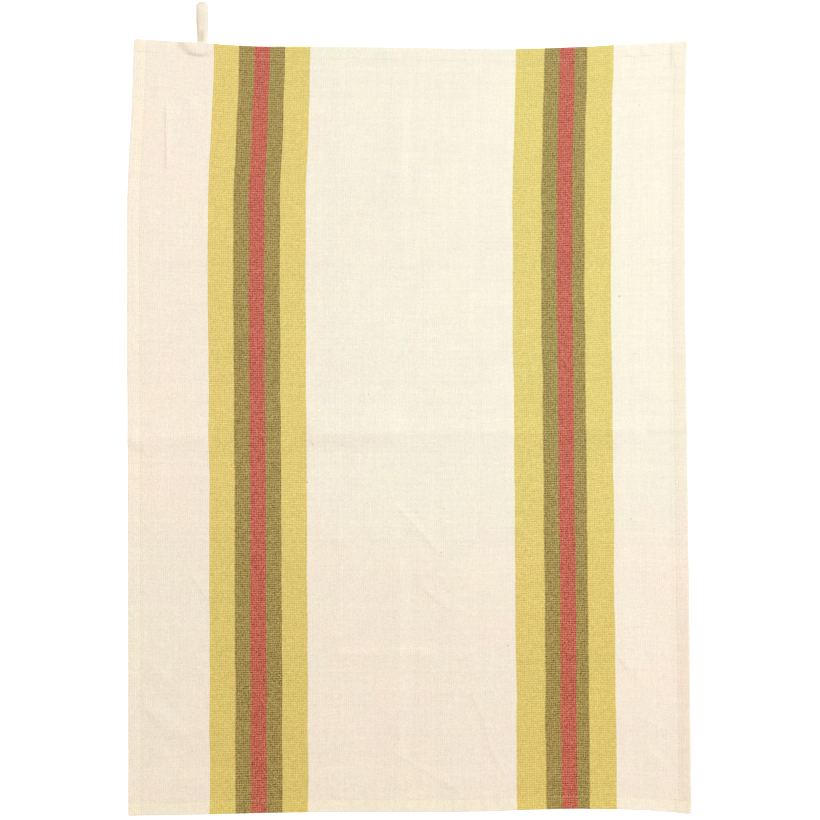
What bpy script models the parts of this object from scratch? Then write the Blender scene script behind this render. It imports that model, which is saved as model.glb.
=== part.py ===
"""A woven cotton tea towel of 50 by 70 cm, lying flat and face up, with a cotton tape loop to hang it by.

The cloth is one solid, with its four hems. The tape loop is another: the tape is folded in two, its fold
stands open as a small eye, and its two tails lie under the top hem, where they push the cloth up.
+X runs across the towel to the right, +Y up the towel to the loop, and +Z up from the surface below it.
Every size below is in millimetres, and MM turns it into the scene's metres when a mesh is made.
"""

import math
from typing import NamedTuple

import bmesh
import bpy
from mathutils import Vector

MM = 0.001


class EdgePoint(NamedTuple):
    """A point on one edge of the cloth: its place along the edge, and where the edge lies there."""

    along: float
    edge: float


class Fold(NamedTuple):
    """A soft ridge pressed into the cloth on a straight line, which fades out towards both ends."""

    start_x: float
    start_y: float
    end_x: float
    end_y: float
    height: float
    half_width: float
    fade: float


class Swell(NamedTuple):
    """A low oval rise where the cloth has relaxed off the surface."""

    x: float
    y: float
    reach_x: float
    reach_y: float
    height: float


# The outline. The top and bottom edges give y at each x, and the side edges give x at each y.
TOP_EDGE = (
    EdgePoint(-247.5, 333.0),
    EdgePoint(-221.0, 331.4),
    EdgePoint(-194.0, 329.6),
    EdgePoint(-140.0, 326.2),
    EdgePoint(-86.0, 326.0),
    EdgePoint(-32.0, 325.6),
    EdgePoint(22.0, 324.7),
    EdgePoint(90.0, 323.8),
    EdgePoint(157.0, 325.6),
    EdgePoint(184.0, 327.3),
    EdgePoint(250.0, 331.0),
)
BOTTOM_EDGE = (
    EdgePoint(-252.7, -366.0),
    EdgePoint(-194.0, -365.2),
    EdgePoint(-140.0, -363.8),
    EdgePoint(-86.0, -362.9),
    EdgePoint(22.0, -362.9),
    EdgePoint(76.0, -362.0),
    EdgePoint(103.0, -360.8),
    EdgePoint(157.0, -359.8),
    EdgePoint(211.0, -361.1),
    EdgePoint(254.0, -364.0),
)
LEFT_EDGE = (
    EdgePoint(-366.0, -252.7),
    EdgePoint(-226.0, -252.9),
    EdgePoint(-46.0, -253.2),
    EdgePoint(62.0, -253.9),
    EdgePoint(170.0, -253.9),
    EdgePoint(206.0, -253.1),
    EdgePoint(278.0, -249.5),
    EdgePoint(333.0, -247.5),
)
RIGHT_EDGE = (
    EdgePoint(-364.0, 254.0),
    EdgePoint(-226.0, 252.7),
    EdgePoint(-82.0, 250.9),
    EdgePoint(62.0, 249.1),
    EdgePoint(98.0, 248.6),
    EdgePoint(242.0, 248.6),
    EdgePoint(331.0, 250.0),
)
TOP_WIDTH = TOP_EDGE[-1].along - TOP_EDGE[0].along
LEFT_LENGTH = LEFT_EDGE[-1].along - LEFT_EDGE[0].along
CORNER_RADIUS = 1.8

# The cloth: one layer in the field, and three layers in the hem, whose folded edge is round.
FIELD_THICKNESS = 1.0
HEM_THICKNESS = 2.0
HEM_DEPTH = 12.0
HEM_STEP = 2.0
RIM_ROUND = 1.2
RIM_SHARE = 0.35

# How the cloth lies. It was folded in half both ways, opened out again and smoothed flat by hand.
FOLDS = {
    "middle": Fold(-290.0, -24.8, 290.0, -16.8, 1.5, 9.0, 30.0),
    "centre": Fold(-2.0, -345.0, -3.0, 300.0, 0.7, 7.0, 60.0),
    "quarter": Fold(-100.0, -220.0, 60.0, -219.0, 0.5, 6.0, 30.0),
    "pleat": Fold(-218.5, 285.0, -218.0, 210.0, 0.5, 3.5, 20.0),
    "hand_high": Fold(-22.0, -72.0, 40.0, -139.0, 0.8, 6.0, 24.0),
    "hand_middle": Fold(0.0, -155.0, 54.0, -188.0, 0.6, 6.0, 20.0),
    "hand_low": Fold(-4.0, -314.0, 48.0, -347.0, 0.7, 6.0, 20.0),
    "left_high": Fold(-246.0, -216.0, -196.0, -268.0, 0.9, 10.0, 24.0),
    "left_middle": Fold(-238.0, -257.0, -184.0, -306.0, 0.9, 10.0, 24.0),
    "left_low": Fold(-248.0, -286.0, -200.0, -330.0, 0.8, 9.0, 20.0),
    "right_high": Fold(186.0, -214.0, 216.0, -256.0, 0.7, 9.0, 20.0),
    "right_low": Fold(212.0, -300.0, 250.0, -326.0, 0.8, 8.0, 18.0),
}
SWELLS = (
    Swell(-216.0, 190.0, 30.0, 90.0, 0.8),
    Swell(212.0, -270.0, 34.0, 80.0, 0.6),
    Swell(206.0, 60.0, 36.0, 80.0, 0.7),
    Swell(40.0, -130.0, 60.0, 80.0, 0.6),
    Swell(-60.0, -290.0, 70.0, 50.0, 0.7),
    Swell(-50.0, 285.0, 60.0, 34.0, 0.8),
    Swell(-120.0, -110.0, 36.0, 70.0, 0.6),
)

# The tape loop.
TAPE_WIDTH = 11.0
TAPE_THICKNESS = 0.8
LOOP_X = -185.8
LOOP_TOP_Y = 366.0
TAIL_END_Y = 316.5
EYE_JOIN_Y = 337.0
EYE_HEIGHT = 5.8
LEG_OFFSET = 0.6
LAYER_GAP = 0.3
EYE_STEPS = 12
LEG_STEPS = 10

# How far the cloth over the tails reaches past them at full height, and how far it takes to come down.
TAIL_MARGIN = 2.2
TAIL_FADE = 9.0

# The mesh of the cloth: the widest cell of the field, and the cuts along a fold as shares of its half-width.
FIELD_CELL = 22.0
FOLD_CUTS = (-1.0, -0.5, 0.0, 0.5, 1.0)
CUT_SNAP = 0.3
HEM_LINES = (0.0, 0.4, 1.3, HEM_DEPTH - HEM_STEP / 2, HEM_DEPTH + HEM_STEP / 2)
SHARP_ANGLE = math.radians(50.0)

CREAM = (0.90, 0.82, 0.68)
TAPE_CREAM = (0.86, 0.76, 0.58)
COTTON_ROUGHNESS = 0.9


def between(start: float, end: float, share: float) -> float:
    """The value at a share of the way from start to end."""
    return start + (end - start) * share


def eased(share: float) -> float:
    """A smooth step from 0 to 1 as the share goes from 0 to 1."""
    share = max(0.0, min(1.0, share))
    return share * share * (3.0 - 2.0 * share)


def slope_at(points: tuple, index: int) -> float:
    """The slope of a smooth curve at one of the points that it goes through."""
    before = points[max(index - 1, 0)]
    after = points[min(index + 1, len(points) - 1)]
    return (after.edge - before.edge) / (after.along - before.along)


def edge_at(points: tuple, along: float) -> float:
    """Where an edge of the cloth lies, on a smooth curve through the edge's points."""
    index = max(0, min(len(points) - 2, sum(point.along <= along for point in points) - 1))
    start = points[index]
    end = points[index + 1]
    span = end.along - start.along
    share = (along - start.along) / span
    rest = 1.0 - share
    return (
        (1.0 + 2.0 * share) * rest * rest * start.edge
        + (1.0 + 2.0 * rest) * share * share * end.edge
        + share * rest * rest * span * slope_at(points, index)
        - rest * share * share * span * slope_at(points, index + 1)
    )


def plan_position(across: float, up: float) -> tuple:
    """The plan position of a point of the cloth from its shares across and up, blended from the edges."""
    left = edge_at(LEFT_EDGE, between(LEFT_EDGE[0].along, LEFT_EDGE[-1].along, up))
    right = edge_at(RIGHT_EDGE, between(RIGHT_EDGE[0].along, RIGHT_EDGE[-1].along, up))
    bottom = edge_at(BOTTOM_EDGE, between(BOTTOM_EDGE[0].along, BOTTOM_EDGE[-1].along, across))
    top = edge_at(TOP_EDGE, between(TOP_EDGE[0].along, TOP_EDGE[-1].along, across))
    return between(left, right, across), between(bottom, top, up)


def rounded_corner(across: float, up: float) -> tuple:
    """The shares across and up, drawn in near a corner so that the outline turns it on a radius."""
    side_x = 1.0 if across > 0.5 else -1.0
    side_y = 1.0 if up > 0.5 else -1.0
    radius_x = CORNER_RADIUS / TOP_WIDTH
    radius_y = CORNER_RADIUS / LEFT_LENGTH
    out_x = 1.0 - min(across, 1.0 - across) / radius_x
    out_y = 1.0 - min(up, 1.0 - up) / radius_y
    if min(out_x, out_y) <= 0.0:
        return across, up
    drawn_x = out_x * (1.0 - math.sqrt(1.0 - out_y * out_y / 2.0))
    drawn_y = out_y * (1.0 - math.sqrt(1.0 - out_x * out_x / 2.0))
    return across - side_x * drawn_x * radius_x, up - side_y * drawn_y * radius_y


def thickness_at(margin: float) -> float:
    """The cloth's full thickness at a distance from its nearest edge."""
    inside = eased((margin - HEM_DEPTH) / HEM_STEP + 0.5)
    return between(HEM_THICKNESS, FIELD_THICKNESS, inside)


def rim_share(margin: float) -> float:
    """The share of the full thickness at a distance from the edge, where the hem's fold is round."""
    inside = min(margin / RIM_ROUND, 1.0)
    return max(RIM_SHARE, math.sqrt(1.0 - (1.0 - inside) ** 2))


def fold_place(fold: Fold, x: float, y: float) -> tuple:
    """The distances of a plan position along a fold from its start and off to its side."""
    run_x = fold.end_x - fold.start_x
    run_y = fold.end_y - fold.start_y
    length = math.hypot(run_x, run_y)
    along = ((x - fold.start_x) * run_x + (y - fold.start_y) * run_y) / length
    off = ((x - fold.start_x) * run_y - (y - fold.start_y) * run_x) / length
    return along, off


def fold_length(fold: Fold) -> float:
    """The length of a fold."""
    return math.hypot(fold.end_x - fold.start_x, fold.end_y - fold.start_y)


def fold_rise(fold: Fold, x: float, y: float) -> float:
    """How far a fold lifts the cloth at a plan position."""
    along, off = fold_place(fold, x, y)
    ends = eased(along / fold.fade) * eased((fold_length(fold) - along) / fold.fade)
    return fold.height * ends * (1.0 - eased(abs(off) / fold.half_width))


def swell_rise(swell: Swell, x: float, y: float) -> float:
    """How far a swell lifts the cloth at a plan position."""
    off = math.hypot((x - swell.x) / swell.reach_x, (y - swell.y) / swell.reach_y)
    return swell.height * (1.0 - eased(off))


def tail_rise(x: float, y: float) -> float:
    """How far the tape's two tails push the cloth up at a plan position."""
    half_width = TAPE_WIDTH / 2 + LEG_OFFSET + TAIL_MARGIN
    out_x = max(abs(x - LOOP_X) - half_width, 0.0)
    out_y = max(TAIL_END_Y - TAIL_MARGIN - y, 0.0)
    stack = 2 * (TAPE_THICKNESS + LAYER_GAP)
    return stack * (1.0 - eased(math.hypot(out_x, out_y) / TAIL_FADE))


def rise_at(x: float, y: float) -> float:
    """The height of the cloth's underside at a plan position, 0 where it lies on the surface."""
    relaxed = sum(fold_rise(fold, x, y) for fold in FOLDS.values())
    relaxed += sum(swell_rise(swell, x, y) for swell in SWELLS)
    return max(relaxed, tail_rise(x, y))


def mesh_lines(inner: tuple, start: float, end: float) -> list:
    """Shares from 0 to 1 for the lines of the mesh: the hems', the inner ones and the field's."""
    fixed = [start + line for line in HEM_LINES]
    fixed += sorted(inner)
    fixed += [end - line for line in reversed(HEM_LINES)]
    lines = []
    for low, high in zip(fixed, fixed[1:]):
        cells = math.ceil((high - low) / FIELD_CELL)
        lines += [between(low, high, cell / cells) for cell in range(cells)]
    lines.append(end)
    return [(line - start) / (end - start) for line in lines]


def tail_columns() -> tuple:
    """The columns of the mesh that shape the cloth over the tape's tails."""
    half_width = TAPE_WIDTH / 2 + LEG_OFFSET + TAIL_MARGIN
    offsets = (-half_width - TAIL_FADE, -half_width - TAIL_FADE / 2, -half_width, 0.0)
    return tuple(LOOP_X + offset for offset in offsets) + tuple(LOOP_X - offset for offset in offsets[:3])


def tail_rows() -> tuple:
    """The rows of the mesh that shape the cloth below the tape's tails."""
    full = TAIL_END_Y - TAIL_MARGIN
    return full - TAIL_FADE, full - TAIL_FADE / 2, full


def finished_object(name: str, bm: bmesh.types.BMesh, colour: tuple) -> bpy.types.Object:
    """Turns a mesh in millimetres into a named object in metres, with its own cotton material."""
    bmesh.ops.scale(bm, vec=Vector((MM, MM, MM)), verts=bm.verts)
    bmesh.ops.recalc_face_normals(bm, faces=bm.faces)
    mesh = bpy.data.meshes.new(name)
    bm.to_mesh(mesh)
    bm.free()
    mesh.shade_smooth()
    mesh.set_sharp_from_angle(angle=SHARP_ANGLE)
    material = bpy.data.materials.new(name)
    material.use_nodes = True
    shader = material.node_tree.nodes["Principled BSDF"]
    shader.inputs["Base Color"].default_value = (*colour, 1.0)
    shader.inputs["Roughness"].default_value = COTTON_ROUGHNESS
    shader.inputs["Metallic"].default_value = 0.0
    mesh.materials.append(material)
    piece = bpy.data.objects.new(name, mesh)
    bpy.context.scene.collection.objects.link(piece)
    return piece


def cut_along(bm: bmesh.types.BMesh, fold: Fold) -> None:
    """Cuts the faces near a fold along its crest and its flanks, so that the mesh can follow it."""
    near = []
    for face in bm.faces:
        along, off = fold_place(fold, *face.calc_center_median().xy)
        beyond_ends = max(-along, along - fold_length(fold))
        if beyond_ends < FIELD_CELL / 2 and abs(off) < fold.half_width + FIELD_CELL:
            near.append(face)
    side = Vector((fold.end_y - fold.start_y, fold.start_x - fold.end_x, 0.0)).normalized()
    for share in FOLD_CUTS:
        place = Vector((fold.start_x, fold.start_y, 0.0)) + side * share * fold.half_width
        edges = {edge for face in near for edge in face.edges}
        corners = {corner for face in near for corner in face.verts}
        cut = bmesh.ops.bisect_plane(
            bm, geom=[*near, *edges, *corners], dist=CUT_SNAP, plane_co=place, plane_no=side
        )
        near = [item for item in cut["geom"] if isinstance(item, bmesh.types.BMFace)]


def make_cloth() -> bpy.types.Object:
    """The cloth with its hems: a grid in plan, cut along the folds, shaped as the underside and extruded."""
    columns = mesh_lines(tail_columns(), TOP_EDGE[0].along, TOP_EDGE[-1].along)
    rows = mesh_lines(tail_rows(), LEFT_EDGE[0].along, LEFT_EDGE[-1].along)
    bm = bmesh.new()
    margin = bm.verts.layers.float.new("margin")
    depth = bm.verts.layers.float.new("depth")
    bmesh.ops.create_grid(bm, x_segments=len(columns) - 1, y_segments=len(rows) - 1, size=0.5)
    for vertex in bm.verts:
        column = columns[round((vertex.co.x + 0.5) * (len(columns) - 1))]
        row = rows[round((vertex.co.y + 0.5) * (len(rows) - 1))]
        vertex[margin] = min(min(column, 1.0 - column) * TOP_WIDTH, min(row, 1.0 - row) * LEFT_LENGTH)
        vertex.co.xy = plan_position(*rounded_corner(column, row))
    for fold in FOLDS.values():
        cut_along(bm, fold)
    for vertex in bm.verts:
        full = thickness_at(vertex[margin])
        vertex[depth] = full * rim_share(vertex[margin])
        vertex.co.z = rise_at(*vertex.co.xy) + (full - vertex[depth]) / 2
    face = bmesh.ops.extrude_face_region(bm, geom=bm.faces[:])
    for item in face["geom"]:
        if isinstance(item, bmesh.types.BMVert):
            item.co.z += item[depth]
    bm.verts.layers.float.remove(bm.verts.layers.float["margin"])
    bm.verts.layers.float.remove(bm.verts.layers.float["depth"])
    return finished_object("towel_cloth", bm, CREAM)


def tape_line() -> list:
    """The tape's centre line from the lower tail, round the eye, to the upper tail, as points (x, y, z)."""
    radius = (EYE_HEIGHT + TAPE_THICKNESS) / 2
    turn_y = LOOP_TOP_Y - TAPE_THICKNESS / 2 - radius
    lower_z = TAPE_THICKNESS / 2
    upper_z = 1.5 * TAPE_THICKNESS + LAYER_GAP
    lower_x = LOOP_X - LEG_OFFSET
    upper_x = LOOP_X + LEG_OFFSET
    lower_leg = []
    for step in range(LEG_STEPS):
        lower_leg.append((lower_x, between(TAIL_END_Y, turn_y, step / LEG_STEPS), lower_z))
    eye = []
    for step in range(EYE_STEPS + 1):
        share = step / EYE_STEPS
        angle = math.pi * (share - 0.5)
        y = turn_y + radius * math.cos(angle)
        eye.append((between(lower_x, upper_x, share), y, lower_z + radius * (1.0 + math.sin(angle))))
    upper_leg = []
    for step in range(1, LEG_STEPS + 1):
        y = between(turn_y, EYE_JOIN_Y, step / LEG_STEPS)
        drop = eased((turn_y - y) / (turn_y - EYE_JOIN_Y))
        upper_leg.append((upper_x, y, between(lower_z + 2 * radius, upper_z, drop)))
    return lower_leg + eye + upper_leg + [(upper_x, TAIL_END_Y, upper_z)]


def make_loop() -> bpy.types.Object:
    """The tape loop: a strip along the tape's centre line as seen from the side, extruded to its width."""
    line = [Vector(point) for point in tape_line()]
    bm = bmesh.new()
    pairs = []
    for index, point in enumerate(line):
        run = line[min(index + 1, len(line) - 1)] - line[max(index - 1, 0)]
        out = Vector((0.0, -run.z, run.y)).normalized() * TAPE_THICKNESS / 2
        left = point - Vector((TAPE_WIDTH / 2, 0.0, 0.0))
        pairs.append((bm.verts.new(left - out), bm.verts.new(left + out)))
    for (first, second), (next_first, next_second) in zip(pairs, pairs[1:]):
        bm.faces.new((first, next_first, next_second, second))
    grown = bmesh.ops.extrude_face_region(bm, geom=bm.faces[:])
    side = [item for item in grown["geom"] if isinstance(item, bmesh.types.BMVert)]
    bmesh.ops.translate(bm, vec=Vector((TAPE_WIDTH, 0.0, 0.0)), verts=side)
    return finished_object("hanging_loop", bm, TAPE_CREAM)


def main() -> None:
    """Clears the scene and makes the two pieces."""
    for item in list(bpy.data.objects):
        bpy.data.objects.remove(item, do_unlink=True)
    make_cloth()
    make_loop()


main()
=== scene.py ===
"""The looks of a striped cotton tea towel, laid out flat and face up, with the tape loop that it hangs by.

The cloth is one thin closed sheet with its double-turned hems, in a plain weave with bands of coloured warp.
The hems are held by lock stitches, each of them a short piece of thread, and the loop is a narrow woven tape.
Sizes are in millimetres, and MM turns them into the scene's metres. +X runs across the towel to the right,
+Y up the towel to the loop, and +Z up from the surface that the towel lies on.
"""

import logging
import math
from dataclasses import dataclass, field
from enum import Enum
from typing import NamedTuple, Sequence

import bpy
import numpy as np
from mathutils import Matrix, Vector


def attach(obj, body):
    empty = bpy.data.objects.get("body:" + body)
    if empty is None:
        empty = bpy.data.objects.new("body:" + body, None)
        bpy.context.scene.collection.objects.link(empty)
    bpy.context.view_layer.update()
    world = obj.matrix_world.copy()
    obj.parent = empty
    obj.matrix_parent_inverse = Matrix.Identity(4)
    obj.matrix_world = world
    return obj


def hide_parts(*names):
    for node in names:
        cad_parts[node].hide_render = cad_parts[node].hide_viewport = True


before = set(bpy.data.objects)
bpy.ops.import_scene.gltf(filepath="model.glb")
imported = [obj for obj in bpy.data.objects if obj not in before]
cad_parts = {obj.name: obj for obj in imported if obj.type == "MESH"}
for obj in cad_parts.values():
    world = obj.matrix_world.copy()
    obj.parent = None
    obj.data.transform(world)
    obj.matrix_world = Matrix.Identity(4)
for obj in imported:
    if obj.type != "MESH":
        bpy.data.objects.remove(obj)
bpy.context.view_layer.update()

Array = np.ndarray
Colour = tuple[float, float, float]

MM = 0.001
BODY = "root"
CLOTH_NODE = "towel_cloth"
LOOP_NODE = "hanging_loop"
WEAVE_MAP = "Weave"
BAKE_MAP = "OFBake"

log = logging.getLogger("tea_towel")


# ---- Curves and relief ----


def between(start: Array | float, end: Array | float, share: Array | float) -> Array | float:
    """The value at a share of the way from start to end."""
    return start + (end - start) * share


def eased(share: Array | float) -> Array | float:
    """A smooth step from 0 to 1 as the share goes from 0 to 1."""
    share = np.clip(share, 0.0, 1.0)
    return share * share * (3.0 - 2.0 * share)


def hump(off: Array, reach: float) -> Array:
    """A soft hump, 1 at its middle and 0 past its reach."""
    return 1.0 - eased(np.abs(off) / reach)


@dataclass(frozen=True)
class SmoothEdge:
    """One edge of the towel as it lies: a smooth curve through a few points.

    places are the points' places along the edge, and edges are where the edge lies at each of them.
    """

    places: tuple[float, ...]
    edges: tuple[float, ...]

    def at(self, share: Array) -> Array:
        """Where the edge lies at a share of its way.

        Args:
            share: Shares from 0 to 1 along the edge.

        Returns:
            The edge's place across its own direction at each share.
        """
        along = np.array(self.places)
        edge = np.array(self.edges)
        after = np.append(np.arange(1, len(along)), len(along) - 1)
        before = np.append(0, np.arange(len(along) - 1))
        slope = (edge[after] - edge[before]) / (along[after] - along[before])
        place = between(along[0], along[-1], share)
        index = np.clip(np.searchsorted(along, place, side="right") - 1, 0, len(along) - 2)
        span = along[index + 1] - along[index]
        share = (place - along[index]) / span
        rest = 1.0 - share
        return (
            (1.0 + 2.0 * share) * rest**2 * edge[index]
            + (1.0 + 2.0 * rest) * share**2 * edge[index + 1]
            + share * rest**2 * span * slope[index]
            - rest * share**2 * span * slope[index + 1]
        )


@dataclass(frozen=True)
class SoftNoise:
    """Random relief that is the same on each run: random values on a grid, eased from one to the next."""

    seed: int
    cell_x: float
    cell_y: float = 1.0
    cells: int = 61

    def at(self, x: Array, y: Array) -> Array:
        """The noise at places in the plane.

        Args:
            x: Places along the first direction.
            y: Places along the second direction.

        Returns:
            Values from -1 to 1.
        """
        grid = np.random.default_rng(self.seed).uniform(-1.0, 1.0, (self.cells, self.cells))
        x, y = np.broadcast_arrays(np.asarray(x) / self.cell_x, np.asarray(y) / self.cell_y)
        column = np.floor(x).astype(int)
        row = np.floor(y).astype(int)
        right = eased(x - column)
        up = eased(y - row)
        column %= self.cells
        row %= self.cells
        next_column = (column + 1) % self.cells
        next_row = (row + 1) % self.cells
        low = between(grid[row, column], grid[row, next_column], right)
        high = between(grid[next_row, column], grid[next_row, next_column], right)
        return between(low, high, up)

    def along(self, place: Array) -> Array:
        """The noise at places along one line."""
        return self.at(place, 0.5)


@dataclass(frozen=True)
class Outline:
    """The finished cloth's size, and its outline as it lies, pulled out a little at the corners."""

    width: float = 504.0
    length: float = 696.0
    corner_radius: float = 2.6
    top: SmoothEdge = SmoothEdge(
        (-247.5, -221.0, -194.0, -140.0, -86.0, -32.0, 22.0, 90.0, 157.0, 184.0, 250.0),
        (333.0, 331.4, 329.6, 326.2, 326.0, 325.6, 324.7, 323.8, 325.6, 327.3, 331.0),
    )
    bottom: SmoothEdge = SmoothEdge(
        (-252.7, -194.0, -140.0, -86.0, 22.0, 76.0, 103.0, 157.0, 211.0, 254.0),
        (-366.0, -365.2, -363.8, -362.9, -362.9, -362.0, -360.8, -359.8, -361.1, -364.0),
    )
    left: SmoothEdge = SmoothEdge(
        (-366.0, -226.0, -46.0, 62.0, 170.0, 206.0, 278.0, 333.0),
        (-252.7, -252.9, -253.2, -253.9, -253.9, -253.1, -249.5, -247.5),
    )
    right: SmoothEdge = SmoothEdge(
        (-364.0, -226.0, -82.0, 62.0, 98.0, 242.0, 331.0),
        (254.0, 252.7, 250.9, 249.1, 248.6, 248.6, 250.0),
    )

    def margins(self, across: Array, up: Array) -> tuple[Array, Array]:
        """The distances of points of the cloth from the nearest side edge and the nearest end edge."""
        return np.minimum(across, self.width - across), np.minimum(up, self.length - up)

    def plan(self, across: Array, up: Array) -> tuple[Array, Array]:
        """Where points of the finished cloth lie in plan.

        Args:
            across: Distances on the cloth from its left edge.
            up: Distances on the cloth from its bottom edge.

        Returns:
            The x and y of each point.
        """
        margin_x, margin_y = self.margins(across, up)
        out_x = np.clip(1.0 - margin_x / self.corner_radius, 0.0, 1.0)
        out_y = np.clip(1.0 - margin_y / self.corner_radius, 0.0, 1.0)
        drawn_x = out_x * (1.0 - np.sqrt(1.0 - out_y**2 / 2.0)) * self.corner_radius
        drawn_y = out_y * (1.0 - np.sqrt(1.0 - out_x**2 / 2.0)) * self.corner_radius
        share_x = (across - np.sign(across - self.width / 2) * drawn_x) / self.width
        share_y = (up - np.sign(up - self.length / 2) * drawn_y) / self.length
        x = between(self.left.at(share_y), self.right.at(share_y), share_x)
        y = between(self.bottom.at(share_x), self.top.at(share_x), share_y)
        return x, y


class Crease(NamedTuple):
    """A crease pressed or pulled into the cloth on a straight line, high at its crest and fading at its ends.

    A negative height is a trough. left_reach and right_reach are how far it spreads to each side, as seen
    along the line, wander is how far it strays from the straight line, and uneven is how much its height
    varies along it. crisp is how sharp its crest is, from 0 to 1. edge is the height of a hard edge on its
    crest, which is too narrow for the sheet's mesh and is raised in the cloth's finish.
    """

    start_x: float
    start_y: float
    end_x: float
    end_y: float
    height: float
    left_reach: float
    right_reach: float
    fade: float
    wander: float
    uneven: float
    crisp: float = 0.4
    edge: float = 0.0


class Swell(NamedTuple):
    """A low oval rise where the cloth has relaxed off the surface."""

    x: float
    y: float
    reach_x: float
    reach_y: float
    height: float


class Patch(NamedTuple):
    """An oval patch of short wrinkles side by side, all at about one angle, in degrees from +X."""

    x: float
    y: float
    reach_x: float
    reach_y: float
    height: float
    spacing: float
    length: float
    angle: float
    seed: int


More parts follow.
